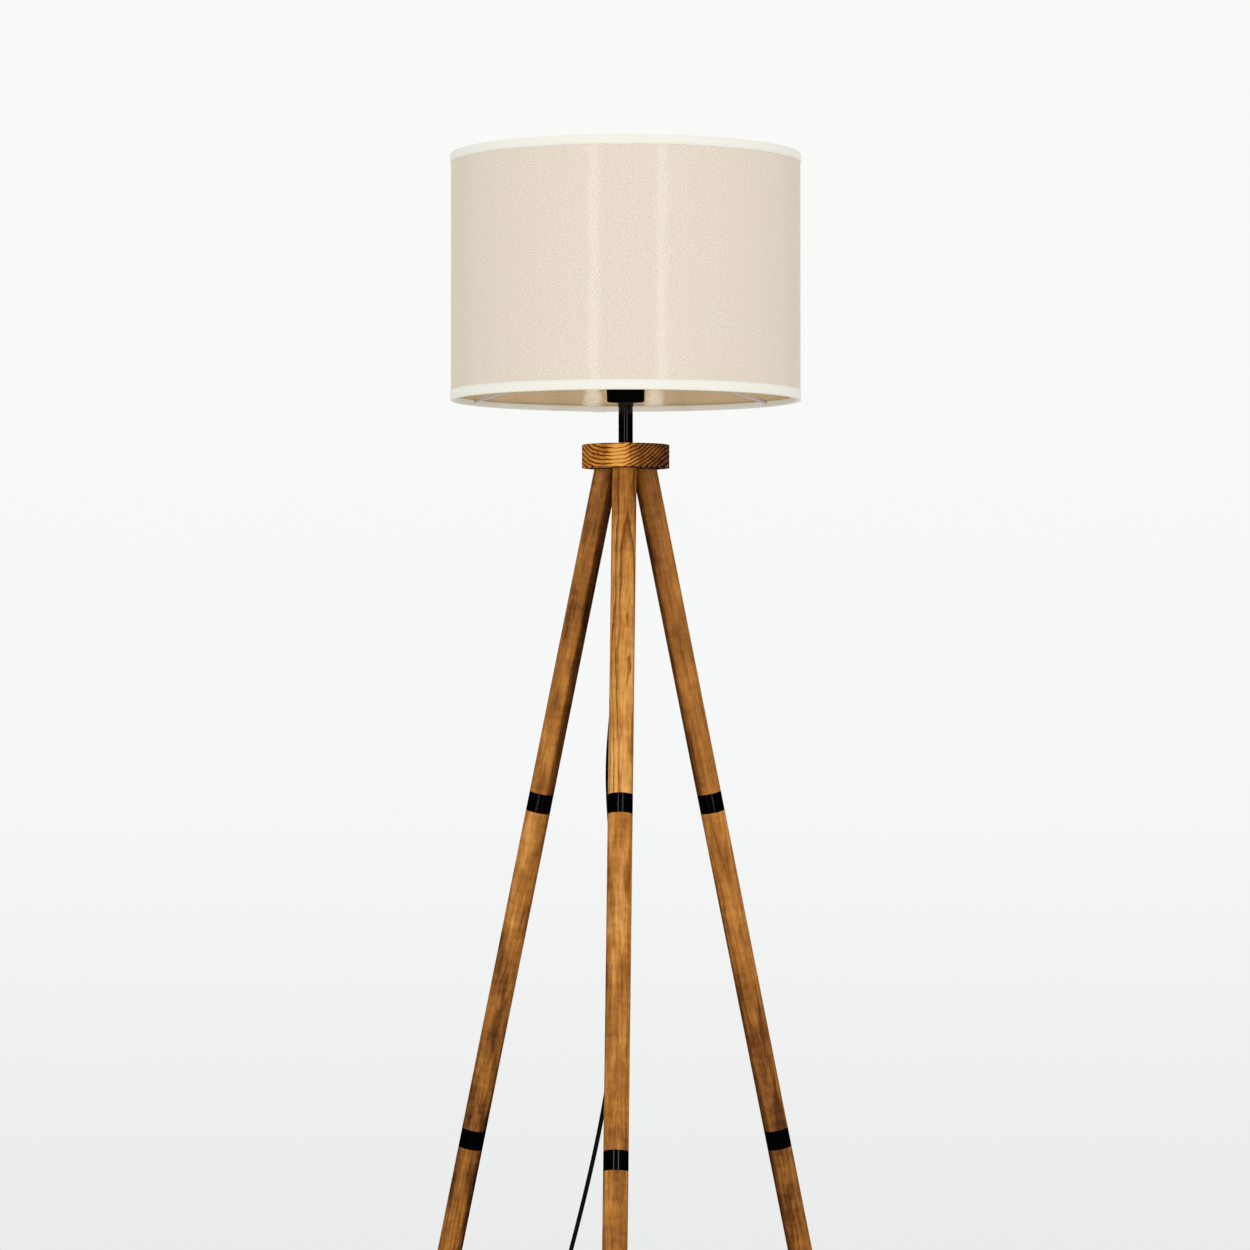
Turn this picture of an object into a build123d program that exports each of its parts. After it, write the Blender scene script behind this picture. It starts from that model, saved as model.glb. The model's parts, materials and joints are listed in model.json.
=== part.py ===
from build123d import *
import math
import os

# Tripod floor lamp, modelled standing on its feet. Millimetres, +Z up.
# The origin is the point of the floor under the hub's axis; the front leg points along -Y.

# ------------------------------------------------------------------ driving dimensions
# Hub
HUB_Z = 1170.0  # underside of the hub above the floor
HUB_DIAMETER = 100.0
HUB_THICKNESS = 26.5
HUB_EDGE = 0.4  # eased edge
HUB_BORE = 10.6
NUT_POCKET_DIAMETER = 20.0
NUT_POCKET_DEPTH = 7.2

# Legs: every leg is described along its own axis, s = 0 where the axis meets the hub's underside
LEG_DIAMETER = 28.0
LEG_LEAN = 13.1  # degrees from the vertical
LEG_RADIUS_AT_HUB = 24.8  # from the hub's axis to the leg's axis
LEG_AZIMUTHS = {"front": -93.4, "right": 30.0, "left": 150.0}
SECTION_JOINTS = (393.0, 794.0)
LEG_END = 1195.0
SHOULDER_GAP = 0.1  # between the ends that meet inside a joint
LEG_SPARE = 20.0  # cut off level at the leg's top

FERRULE_LENGTH = 22.5
FERRULE_WALL = 1.2
FERRULE_EDGE = 0.3
TENON_GAP = 0.05

STUD_DIAMETER = 8.0
STUD_REACH_UP = 32.0
STUD_REACH_DOWN = 21.0
INSERT_DIAMETER = 12.0
INSERT_LENGTH = 20.0
INSERT_GROOVE = 1.6  # width; its depth is half of that
INSERT_HOLE_SPARE = 12.0  # how much deeper than the insert its hole is
BORE_GAP = 0.1  # on the radius

TOP_WASHER_DIAMETER = 30.5
TOP_WASHER_BORE = 14.0
TOP_WASHER_THICKNESS = 1.0
TOP_INSERT_START = 5.0
SCREW_HEAD_DIAMETER = 13.0
SCREW_HEAD_HEIGHT = 8.0
SCREW_HEAD_SEAT = -16.5  # along the leg's axis, inside the hub
SCREW_END = 23.5
SCREW_POCKET_DIAMETER = 14.0
HEX_SOCKET = 6.0
HEX_SOCKET_DEPTH = 4.0

FOOT_DIAMETER = 32.0
FOOT_GRIP = 17.0  # how far the rubber cap reaches up the leg
FOOT_EDGE = 1.2

# Stem and nipple, heights above the hub's underside
STEM_DIAMETER = 16.4
STEM_BORE = 10.4
NIPPLE_DIAMETER = 10.0
NIPPLE_BORE = 7.0
NIPPLE_BOTTOM = -8.8
NIPPLE_TOP = 84.0
COLLAR_DIAMETER = 18.4
COLLAR_HEIGHT = 5.9
COLLAR_CHAMFER = 1.2
LOCKNUT_ACROSS_FLATS = 14.0
LOCKNUT_BOTTOM = 1.2
LOCKNUT_FLANGE_DIAMETER = 18.6
LOCKNUT_FLANGE = 1.6

# Cord grip under the hub
GRIP_TOP = 0.8
GRIP_SHOULDER = -12.0
GRIP_TIP = -38.0
GRIP_DIAMETER = 14.0
GRIP_TAPER_DIAMETER = 12.4
GRIP_TIP_DIAMETER = 7.6
GRIP_RIBS = 4

# Lampholder, heights above its own underside
HOLDER_Z = HUB_Z + 75.8
CAP_BOTTOM_DIAMETER = 42.6
CAP_TOP_DIAMETER = 44.4
CAP_HEIGHT = 26.0
CAP_WALL = 2.0
CAP_FLOOR = 3.0
CAP_CORNER = 1.6
CAP_BOSS_DIAMETER = 17.0
CAP_BOSS_HEIGHT = 11.0
BARREL_DIAMETER = 39.6
BARREL_BORE = 35.0
BARREL_TOP = 62.0
BARREL_FOOT = 20.5
BARREL_THREADS = 9
BARREL_THREAD_PITCH = 3.0
SOCKET_MOUTH = 29.2
BLOCK_DIAMETER = 34.6
BLOCK_BOTTOM = 17.0
BLOCK_TOP = 29.0
SHELL_DIAMETER = 28.4
SHELL_BORE = 27.2
SHELL_TOP = 55.0
TERMINAL_OFFSET = 11.0
TERMINAL_HOLE = 3.0
TERMINAL_HEAD = (5.8, 1.8)  # diameter and height
TERMINAL_DEPTH = 8.0
CORE_SLOT = (12.0, 6.0, 9.0)
CORE_SLOT_OFFSET = 14.0
CONTACT_TONGUE = (16.0, 5.0, 0.6)
CONTACT_DIAMETER = 4.8

# Shade, heights above the hub's underside
SHADE_DIAMETER = 400.0
SHADE_WALL = 1.0
SHADE_BOTTOM = 77.5
SHADE_TOP = 358.5
TRIM_THICKNESS = 0.6
TRIM_TOP_WIDTH = 10.0
TRIM_BOTTOM_WIDTH = 11.0
TRIM_FOLD = 6.0  # height of the part folded inside
SHADE_WIRE = 3.0
SPIDER_WIRE = 2.6
ARM_ON_WIRE = 2.0  # between the centres of an arm's end and the wire it is welded on
NOTCH_GAP = 0.3
SPIDER_AZIMUTHS = (33.0, 153.0, 273.0)
FITTER_RISE = 44.0  # spider's ring above the shade's bottom
FITTER_DIAMETER = 54.0
FITTER_BORE = 40.1
FITTER_THICKNESS = 1.6
RING_NUT_DIAMETER = 51.0
RING_NUT_BORE = 39.7
RING_NUT_FLANGE = 2.0
RING_NUT_HEIGHT = 7.0
RING_NUT_SKIRT_DIAMETER = 45.0
RING_NUT_NOTCHES = 24
SHADE_CLEARANCE = 0.3  # above and below the turning ring

# Bulb, heights above the lampholder's underside
BULB_TIP = 30.5
BULB_CAP_DIAMETER = 24.4  # between the thread's turns
BULB_CAP_WALL = 0.4
BULB_CAP_START = 4.0  # above the tip
BULB_THREAD_START = 8.0
BULB_THREAD_SECTION = 2.0
BULB_TIP_DIAMETER = 9.2
BULB_NECK_DIAMETER = 27.2
BULB_SHOULDER_DIAMETER = 31.2
BULB_WAIST_DIAMETER = 39.6
BULB_WAIST_RISE = 13.0  # above the neck's top
BULB_CAP_TOP = 56.0
BULB_NECK_TOP = 63.0
BULB_COLLAR_TOP = 92.0
BULB_GLOBE_CENTRE = 108.0
BULB_GLOBE_DIAMETER = 60.0
BULB_WALL = 1.5
BULB_THREAD_PITCH = 3.6

# Cord
CORD_DIAMETER = 5.0
LEAD_CORE_DIAMETER = 1.9
ARC_SHARE = 0.45  # of the shorter run
HANGING_ROUTE = [
    (0, 0, 1144),
    (0, 0, 1096),
    (-3.5, 2.5, 1036),
    (-9, 4, 971),
    (-15, 3.5, 904),
    (-21.5, 1.5, 830),
    (-18.5, 2, 762),
    (-12, 3.5, 696),
    (-8.5, 5, 629),
    (-10, 6, 562),
    (-16, 7, 497),
    (-26, 7.5, 432),
    (-40.5, 8, 364),
    (-57.5, 8.5, 295),
    (-76, 9.5, 227),
    (-94, 11, 162),
    (-107, 12, 107),
    (-121, 10, 62),
    (-138, 3, 30),
    (-153, -14, 10),
    (-167.76, -47.25, 4.4),
    (-173.49, -79.74, 4.4),
]
FLOOR_ROUTE = [
    (-190.51, -176.26, 4.4),
    (-196.24, -208.75, 4.4),
    (-192, -242.5, 2.6),
    (-171, -262, 2.6),
    (-144, -266, 2.6),
    (-119, -266, 2.6),
]
TAIL_ROUTE = [
    (-80, -242, 7.5),
    (-80, -222, 6.6),
    (-81.5, -202, 3.2),
    (-84.5, -181, 3.0),
    (-87.5, -162.8, 7),
    (-89.69, -148.97, 7),
]

# The coil of spare cord, two turns wide and three high
COIL_CENTRE = (-110.0, -236.0)
COIL_OUTER = 32.5
COIL_INNER = 22.5
COIL_HEIGHT = 15.0
COIL_CORNER = 2.4

# Foot switch, in its own frame: X along the cord, Z up from the floor
SWITCH_CENTRE = (-182.0, -128.0)
SWITCH_HEADING = 260.0  # degrees
SWITCH_LENGTH = 82.0
SWITCH_WIDTH = 36.0
SWITCH_SPLIT = 9.0
SWITCH_HEIGHT = 22.0
SWITCH_WALL = 2.0
SWITCH_CORNER = 5.0
SWITCH_CORD_Z = 4.4
BOOT_LENGTH = 20.0
BUTTON_DIAMETER = 22.0
BUTTON_GAP = 0.3
BUTTON_PROUD = 4.5
BUTTON_SKIRT = 1.6
SPRING_DIAMETER = 9.0
SPRING_WIRE = 0.9
SPRING_TURNS = 5
SWITCH_SCREW_X = 27.0
SWITCH_POST_DIAMETER = 7.2
SWITCH_SCREW_DIAMETER = 2.8
SWITCH_SCREW_HEAD = (6.0, 1.6)  # diameter and height
SWITCH_SCREW_SET_IN = 0.1  # above the base's underside
SWITCH_SCREW_REACH = 6.5  # into the cover
SWITCH_SCREW_SLOT = (4.0, 0.7)
SPRING_CUP_WALL = 1.0
SPRING_CUP_TOP = 5.0
BOOT_ROOT_DIAMETER = 8.6
BOOT_TIP_DIAMETER = 7.2
BOOT_GROOVES = 3

# Plug, in its own frame: X from the cord towards the pins, lying flat on the floor
PLUG_TIP = (-90.0, -147.0, 7.0)
PLUG_HEADING = 99.0  # degrees
PLUG_THICKNESS = 13.6
PLUG_RELIEF = 22.0
PLUG_BODY = 38.0
PLUG_WIDTH = 34.0
PLUG_NECK = (0.0, 10.0)  # distance past the relief and width, where the body starts
PLUG_SHOULDER = (6.0, 16.0)
PLUG_FLARE_END = 22.0
PLUG_CORNER = 2.0
PLUG_EDGE = 1.6
PLUG_RELIEF_DIAMETERS = (7.6, 10.4)
PLUG_GROOVES = 4
PIN_DIAMETER = 4.0
PIN_LENGTH = 19.0
PIN_TIP = 1.2
PIN_ROOT = 12.0  # held in the plug's body
PIN_ROOT_DIAMETER = 5.0
PIN_SPACING = 19.0

# ------------------------------------------------------------------ worked out from them
LEAN = math.radians(LEG_LEAN)
LEG_R = LEG_DIAMETER / 2
TENON_R = LEG_R - FERRULE_WALL
CORD_R = CORD_DIAMETER / 2
SHADE_Z = HUB_Z + SHADE_BOTTOM
SHADE_HEIGHT = SHADE_TOP - SHADE_BOTTOM
FITTER_Z = SHADE_Z + FITTER_RISE
WIRE_R = SHADE_DIAMETER / 2 - SHADE_WALL - SHADE_WIRE / 2 - 0.1
WIRE_Z = SHADE_WIRE / 2 + 0.1  # centre of a rim wire, inwards from the rim
UPRIGHT = (Align.CENTER, Align.CENTER, Align.MIN)
BIG = 3000.0


# ------------------------------------------------------------------ helpers
def rod(radius, start, end):
    """A round bar about Z, from one height to another."""
    return Pos(0, 0, start) * Cylinder(radius, end - start, align=UPRIGHT)


def tube(outer, inner, start, end):
    """A round tube about Z, from one height to another."""
    return rod(outer, start, end) - rod(inner, start - 1, end + 1)


def taper(start_radius, end_radius, start, end):
    """A cone frustum about Z, from one height to another."""
    return Pos(0, 0, start) * Cone(start_radius, end_radius, end - start, align=UPRIGHT)


def above(height):
    """Everything above a height."""
    return Pos(0, 0, height) * Box(BIG, BIG, BIG, align=UPRIGHT)


def below(height):
    """Everything below a height."""
    return Pos(0, 0, height - BIG) * Box(BIG, BIG, BIG, align=UPRIGHT)


def spun(*outline):
    """A solid turned about Z from an outline of (radius, height) points."""
    face = Plane.XZ * make_face(Polyline(*outline, close=True))
    return revolve(face, Axis.Z)


def bar_between(start, end, radius):
    """A straight round bar between two points."""
    line = Line(start, end)
    return sweep(Plane(origin=start, z_dir=line % 0) * Circle(radius), path=line)


def group(parts):
    """Separate solids in one node."""
    return Compound(children=[solid for part in parts for solid in part.solids()])


def leg_place(azimuth):
    """The frame of a leg: origin where its axis meets the hub's underside, Z down along the leg."""
    turn = math.radians(azimuth)
    outward = Vector(math.cos(turn), math.sin(turn), 0)
    origin = outward * LEG_RADIUS_AT_HUB + Vector(0, 0, HUB_Z)
    down = outward * math.sin(LEAN) + Vector(0, 0, -math.cos(LEAN))
    return Plane(origin=origin, x_dir=(-math.sin(turn), math.cos(turn), 0), z_dir=down).location


LEG_PLACES = {name: leg_place(azimuth) for name, azimuth in LEG_AZIMUTHS.items()}


def on_each_leg(part):
    """The same piece placed on all three legs."""
    return [place * part for place in LEG_PLACES.values()]


# ------------------------------------------------------------------ hub and what fastens the legs to it
def hub_disc():
    disc = rod(HUB_DIAMETER / 2, HUB_Z, HUB_Z + HUB_THICKNESS)
    disc = chamfer(disc.edges().filter_by(GeomType.CIRCLE), HUB_EDGE)
    disc -= rod(HUB_BORE / 2, HUB_Z - 1, HUB_Z + HUB_THICKNESS + 1)
    disc -= rod(NUT_POCKET_DIAMETER / 2, HUB_Z - 1, HUB_Z + NUT_POCKET_DEPTH)
    shank_hole = rod(STUD_DIAMETER / 2 + 0.3, -40, 10)
    head_pocket = rod(SCREW_POCKET_DIAMETER / 2, -40, SCREW_HEAD_SEAT)
    for place in LEG_PLACES.values():
        disc -= place * shank_hole
        disc -= place * head_pocket
    return disc


def leg_top_screw():
    """Socket-head screw along the leg's axis, from the hub's top into the leg."""
    head_top = SCREW_HEAD_SEAT - SCREW_HEAD_HEIGHT
    head = rod(SCREW_HEAD_DIAMETER / 2, head_top, SCREW_HEAD_SEAT)
    head = chamfer(head.edges().group_by(Axis.Z)[0], 0.6)
    socket = extrude(Plane.XY.offset(head_top) * RegularPolygon(HEX_SOCKET / 2, 6, major_radius=False),
                     HEX_SOCKET_DEPTH)
    return head - socket + rod(STUD_DIAMETER / 2, SCREW_HEAD_SEAT, SCREW_END)


def leg_top_washer(azimuth):
    """Flat washer between the hub's underside and the leg's bevelled top."""
    radius = LEG_RADIUS_AT_HUB + TOP_WASHER_THICKNESS / 2 * math.tan(LEAN)
    turn = math.radians(azimuth)
    ring = tube(TOP_WASHER_DIAMETER / 2, TOP_WASHER_BORE / 2, -TOP_WASHER_THICKNESS, 0)
    return Pos(radius * math.cos(turn), radius * math.sin(turn), HUB_Z) * ring


def threaded_insert(start):
    """Threaded sleeve for an M8 screw, set in the wood of a leg."""
    sleeve = tube(INSERT_DIAMETER / 2, STUD_DIAMETER / 2, start, start + INSERT_LENGTH)
    half = INSERT_GROOVE / 2
    groove = tube(INSERT_DIAMETER, INSERT_DIAMETER / 2 - half, -half, half)
    for share in (0.25, 0.5, 0.75):
        sleeve -= Pos(0, 0, start + share * INSERT_LENGTH) * groove
    return sleeve


# ------------------------------------------------------------------ legs
def insert_hole(start, end):
    return rod(INSERT_DIAMETER / 2 + BORE_GAP, start, end)


def leg_section(start, end, tenon_up, tenon_down):
    """One turned dowel, narrower where a ferrule covers its end."""
    half = FERRULE_LENGTH / 2
    body_start = start + half if tenon_up else start
    body_end = end - half if tenon_down else end
    section = rod(LEG_R, body_start, body_end)
    if tenon_up:
        section += rod(TENON_R - TENON_GAP, start + SHOULDER_GAP, body_start)
        section -= insert_hole(start - 1, start + INSERT_LENGTH + INSERT_HOLE_SPARE)
    if tenon_down:
        section += rod(TENON_R - TENON_GAP, body_end, end)
        section -= rod(STUD_DIAMETER / 2, end - STUD_REACH_UP, end + 1)
    return section


def upper_section(place):
    """The section whose top is cut level under the washer."""
    section = leg_section(-LEG_SPARE, SECTION_JOINTS[0], False, True)
    section -= insert_hole(-LEG_SPARE - 1, TOP_INSERT_START + INSERT_LENGTH + INSERT_HOLE_SPARE)
    return place * section - above(HUB_Z - TOP_WASHER_THICKNESS)


def ferrule(joint):
    """Metal sleeve, flush with the dowels, over the joint of two sections."""
    half = FERRULE_LENGTH / 2
    sleeve = tube(LEG_R, TENON_R, joint - half, joint + half)
    outer_edges = sleeve.edges().filter_by(GeomType.CIRCLE).filter_by(lambda e: e.radius > LEG_R - 0.1)
    return chamfer(outer_edges, FERRULE_EDGE)


def joint_stud(joint):
    """Double-ended screw: its upper end is fixed in the wood, its lower end turns into an insert."""
    stud = rod(STUD_DIAMETER / 2, joint - STUD_REACH_UP, joint + STUD_REACH_DOWN)
    return chamfer(stud.edges().filter_by(GeomType.CIRCLE), 0.8)


def foot(place):
    """Rubber cap on the leg's end, with its sole cut level on the floor."""
    cap = rod(FOOT_DIAMETER / 2, LEG_END - FOOT_GRIP, LEG_END + 40)
    cap = chamfer(cap.edges().group_by(Axis.Z)[0], FOOT_EDGE)
    cap -= rod(LEG_R, LEG_END - FOOT_GRIP - 1, LEG_END)
    return place * cap - below(0)


# ------------------------------------------------------------------ stem, nipple and cord grip
def stem_tube():
    return tube(STEM_DIAMETER / 2, STEM_BORE / 2, HUB_Z + HUB_THICKNESS, HOLDER_Z - COLLAR_HEIGHT)


def holder_collar_nut():
    collar = rod(COLLAR_DIAMETER / 2, HOLDER_Z - COLLAR_HEIGHT, HOLDER_Z)
    collar = chamfer(collar.edges().group_by(Axis.Z)[0], COLLAR_CHAMFER)
    return collar - rod(STEM_BORE / 2, HOLDER_Z - COLLAR_HEIGHT - 1, HOLDER_Z + 1)


def stem_nipple():
    return tube(NIPPLE_DIAMETER / 2, NIPPLE_BORE / 2, HUB_Z + NIPPLE_BOTTOM, HUB_Z + NIPPLE_TOP)


def nipple_flange_nut():
    hexagon = RegularPolygon(LOCKNUT_ACROSS_FLATS / 2, 6, major_radius=False)
    flange_bottom = NUT_POCKET_DEPTH - LOCKNUT_FLANGE
    nut = extrude(Plane.XY.offset(HUB_Z + LOCKNUT_BOTTOM) * hexagon, flange_bottom - LOCKNUT_BOTTOM)
    nut += rod(LOCKNUT_FLANGE_DIAMETER / 2, HUB_Z + flange_bottom, HUB_Z + NUT_POCKET_DEPTH)
    return nut - rod(NIPPLE_DIAMETER / 2, HUB_Z, HUB_Z + 20)


def cord_grip():
    """Moulded strain relief: a round nut on the nipple that tapers down over the cord."""
    grip = rod(GRIP_DIAMETER / 2, GRIP_SHOULDER, GRIP_TOP)
    grip = chamfer(grip.edges().filter_by(GeomType.CIRCLE), 0.8)
    grip += taper(GRIP_TIP_DIAMETER / 2, GRIP_TAPER_DIAMETER / 2, GRIP_TIP, GRIP_SHOULDER)
    for i in range(GRIP_RIBS):
        share = (i + 1) / (GRIP_RIBS + 1)
        height = GRIP_TIP + (GRIP_SHOULDER - GRIP_TIP) * share
        local_r = (GRIP_TIP_DIAMETER + (GRIP_TAPER_DIAMETER - GRIP_TIP_DIAMETER) * share) / 2
        grip -= tube(GRIP_DIAMETER, local_r - 0.7, height - 0.8, height + 0.8)
    grip -= rod(NIPPLE_DIAMETER / 2, NIPPLE_BOTTOM, GRIP_TOP + 1)
    grip -= rod(CORD_R + 0.2, GRIP_TIP - 1, NIPPLE_BOTTOM)
    return Pos(0, 0, HUB_Z) * grip


def inner_lead():
    """The cord inside the nipple, with its two cores spread to the terminals."""
    sheath_top = HUB_Z + NIPPLE_TOP + 1.5
    lead = rod(CORD_R, HANGING_ROUTE[0][2], sheath_top)
    for side in (-1, 1):
        start = (side * 1.2, 0, sheath_top - 0.5)
        end = (side * 5.5, 0, HOLDER_Z + BLOCK_BOTTOM)
        lead += bar_between(start, end, LEAD_CORE_DIAMETER / 2)
    return lead - above(HOLDER_Z + BLOCK_BOTTOM)


# ------------------------------------------------------------------ lampholder
def holder_cap():
    cap = taper(CAP_BOTTOM_DIAMETER / 2, CAP_TOP_DIAMETER / 2, 0, CAP_HEIGHT)
    cap = fillet(cap.edges().group_by(Axis.Z)[0], CAP_CORNER)
    cap -= taper(CAP_BOTTOM_DIAMETER / 2 - CAP_WALL, CAP_TOP_DIAMETER / 2 - CAP_WALL, CAP_FLOOR, CAP_HEIGHT)
    cap += rod(CAP_BOSS_DIAMETER / 2, CAP_FLOOR, CAP_BOSS_HEIGHT)
    cap -= rod(NIPPLE_DIAMETER / 2, -1, CAP_BOSS_HEIGHT + 1)
    return Pos(0, 0, HOLDER_Z) * cap


def holder_barrel():
    """Outer sleeve of the lampholder, grooved for the shade's ring nuts."""
    barrel = tube(BARREL_DIAMETER / 2, BARREL_BORE / 2, BARREL_FOOT, BARREL_TOP)
    barrel += tube(BARREL_BORE / 2, SOCKET_MOUTH / 2, BARREL_TOP - 3, BARREL_TOP)
    for i in range(BARREL_THREADS):
        height = CAP_HEIGHT + 7.5 + BARREL_THREAD_PITCH * i
        barrel -= Pos(0, 0, height) * tube(BARREL_DIAMETER, BARREL_DIAMETER / 2 - 0.5, 0, 1.2)
    return Pos(0, 0, HOLDER_Z) * barrel


def terminal_places():
    return [Pos(side * TERMINAL_OFFSET, 0, HOLDER_Z) for side in (-1, 1)]


def holder_terminal_block():
    block = rod(BLOCK_DIAMETER / 2, HOLDER_Z + BLOCK_BOTTOM, HOLDER_Z + BLOCK_TOP)
    for place in terminal_places():
        block -= place * rod(TERMINAL_HOLE / 2, BLOCK_BOTTOM - 1, BLOCK_BOTTOM + TERMINAL_DEPTH)
    for side in (-1, 1):
        block -= Pos(0, side * CORE_SLOT_OFFSET, HOLDER_Z + BLOCK_BOTTOM) * Box(*CORE_SLOT, align=UPRIGHT)
    return block


def terminal_screw():
    diameter, height = TERMINAL_HEAD
    head = rod(diameter / 2, BLOCK_BOTTOM - height, BLOCK_BOTTOM)
    head -= Pos(0, 0, BLOCK_BOTTOM - height) * Box(8, 0.8, 1.6)
    return head + rod(TERMINAL_HOLE / 2, BLOCK_BOTTOM, BLOCK_BOTTOM + TERMINAL_DEPTH)


def holder_screw_shell():
    shell = tube(SHELL_DIAMETER / 2, SHELL_BORE / 2, BLOCK_TOP, SHELL_TOP)
    return Pos(0, 0, HOLDER_Z) * shell


def holder_centre_contact():
    tongue = Pos(0, 0, BLOCK_TOP) * Box(*CONTACT_TONGUE, align=UPRIGHT)
    button = rod(CONTACT_DIAMETER / 2, BLOCK_TOP + CONTACT_TONGUE[2], BULB_TIP)
    return Pos(0, 0, HOLDER_Z) * (tongue + button)


# ------------------------------------------------------------------ shade ring nuts
def ring_nut(flange_z, skirt_up):
    """Notched nut on the barrel: a flange against the spider's ring and a narrower skirt away from it."""
    flange = rod(RING_NUT_DIAMETER / 2, 0, RING_NUT_FLANGE)
    notch = Pos(RING_NUT_DIAMETER / 2 + 0.6, 0, -1) * Cylinder(1.5, RING_NUT_FLANGE + 2, align=UPRIGHT)
    for i in range(RING_NUT_NOTCHES):
        flange -= Rot(0, 0, 360 / RING_NUT_NOTCHES * i) * notch
    nut = flange + rod(RING_NUT_SKIRT_DIAMETER / 2, RING_NUT_FLANGE, RING_NUT_HEIGHT)
    nut -= rod(RING_NUT_BORE / 2, -1, RING_NUT_HEIGHT + 1)
    if skirt_up:
        return Pos(0, 0, flange_z) * nut
    return Pos(0, 0, flange_z) * Rot(180, 0, 0) * nut


# ------------------------------------------------------------------ bulb
def bulb_cap():
    outer = BULB_CAP_DIAMETER / 2
    thread = BULB_TIP + BULB_THREAD_START
    cap = rod(outer, BULB_TIP + BULB_CAP_START, BULB_CAP_TOP)
    for i in range(int((BULB_CAP_TOP - thread) / BULB_THREAD_PITCH)):
        cap += Pos(0, 0, thread + BULB_THREAD_PITCH * i) * Torus(outer, BULB_THREAD_SECTION / 2)
    cap -= rod(outer - BULB_CAP_WALL, BULB_TIP + BULB_CAP_START - 1, BULB_CAP_TOP + 1)
    return Pos(0, 0, HOLDER_Z) * cap


def bulb_contact():
    """Insulator and solder tip that close the screw cap's end."""
    tip_r = BULB_TIP_DIAMETER / 2
    inside = BULB_CAP_DIAMETER / 2 - BULB_CAP_WALL - 0.1
    tip = rod(tip_r, BULB_TIP, BULB_TIP + 1.0)
    tip += taper(tip_r, inside, BULB_TIP + 1.0, BULB_TIP + BULB_CAP_START + 0.5)
    return Pos(0, 0, HOLDER_Z) * tip


def bulb_collar():
    """Driver housing between the screw cap and the globe."""
    globe_r = BULB_GLOBE_DIAMETER / 2
    rim = math.sqrt(globe_r**2 - (BULB_GLOBE_CENTRE - BULB_COLLAR_TOP) ** 2)
    inner = BULB_NECK_DIAMETER / 2 - BULB_WALL - 0.1
    waist = BULB_WAIST_DIAMETER / 2
    waist_z = BULB_NECK_TOP + BULB_WAIST_RISE
    body = spun(
        (inner, BULB_CAP_TOP),
        (BULB_NECK_DIAMETER / 2, BULB_CAP_TOP),
        (BULB_NECK_DIAMETER / 2, BULB_NECK_TOP),
        (BULB_SHOULDER_DIAMETER / 2, BULB_NECK_TOP + BULB_WALL),
        (waist, waist_z),
        (rim, BULB_COLLAR_TOP),
        (rim - BULB_WALL, BULB_COLLAR_TOP),
        (waist - BULB_WALL, waist_z),
        (inner, BULB_NECK_TOP),
    )
    return Pos(0, 0, HOLDER_Z) * body


def bulb_globe():
    globe = Sphere(BULB_GLOBE_DIAMETER / 2) - Sphere(BULB_GLOBE_DIAMETER / 2 - BULB_WALL)
    globe = Pos(0, 0, BULB_GLOBE_CENTRE) * globe - below(BULB_COLLAR_TOP)
    return Pos(0, 0, HOLDER_Z) * globe


# ------------------------------------------------------------------ shade
def shade_drum():
    drum = tube(SHADE_DIAMETER / 2, SHADE_DIAMETER / 2 - SHADE_WALL, 0, SHADE_HEIGHT)
    return Pos(0, 0, SHADE_Z) * drum


def shade_trim(width):
    """Folded tape over the drum's lower rim: outside, under, and back up inside past the wire."""
    outside = SHADE_DIAMETER / 2
    inside = outside - SHADE_WALL
    fold = inside - SHADE_WIRE - 0.2
    return spun(
        (outside, 0),
        (outside, width),
        (outside + TRIM_THICKNESS, width),
        (outside + TRIM_THICKNESS, -TRIM_THICKNESS),
        (fold - TRIM_THICKNESS, -TRIM_THICKNESS),
        (fold - TRIM_THICKNESS, TRIM_FOLD),
        (fold, TRIM_FOLD),
        (fold, 0),
    )


def shade_wire():
    return Pos(0, 0, WIRE_Z) * Torus(WIRE_R, SHADE_WIRE / 2)


def at_shade_bottom(part):
    return Pos(0, 0, SHADE_Z) * part


def at_shade_top(part):
    return Pos(0, 0, HUB_Z + SHADE_TOP) * Rot(180, 0, 0) * part


def fitter_ring():
    return tube(FITTER_DIAMETER / 2, FITTER_BORE / 2, FITTER_Z, FITTER_Z + FITTER_THICKNESS)


def spider_arm(azimuth, wire):
    """Straight wire, welded on top of the shade's bottom wire, that rises to the fitter ring."""
    turn = math.radians(azimuth)
    inner_r = FITTER_DIAMETER / 2 - 0.8
    start = (WIRE_R * math.cos(turn), WIRE_R * math.sin(turn), SHADE_Z + WIRE_Z + ARM_ON_WIRE)
    end = (inner_r * math.cos(turn), inner_r * math.sin(turn), FITTER_Z + FITTER_THICKNESS / 2)
    return bar_between(start, end, wire / 2)


def bottom_trim():
    """The lower trim, with a notch in its fold for each spider arm."""
    trim = at_shade_bottom(shade_trim(TRIM_BOTTOM_WIDTH))
    for azimuth in SPIDER_AZIMUTHS:
        trim -= spider_arm(azimuth, SPIDER_WIRE + 2 * NOTCH_GAP)
    return trim


# ------------------------------------------------------------------ cord
def corner_radii(route):
    """One radius for each corner, as large as its two runs allow."""
    points = [Vector(*point) for point in route]
    radii = []
    for before, corner, after in zip(points, points[1:], points[2:]):
        run_in = corner - before
        run_out = after - corner
        half_turn = math.radians(run_in.get_angle(run_out) / 2)
        radii.append(ARC_SHARE * min(run_in.length, run_out.length) / math.tan(half_turn))
    return radii


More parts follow.
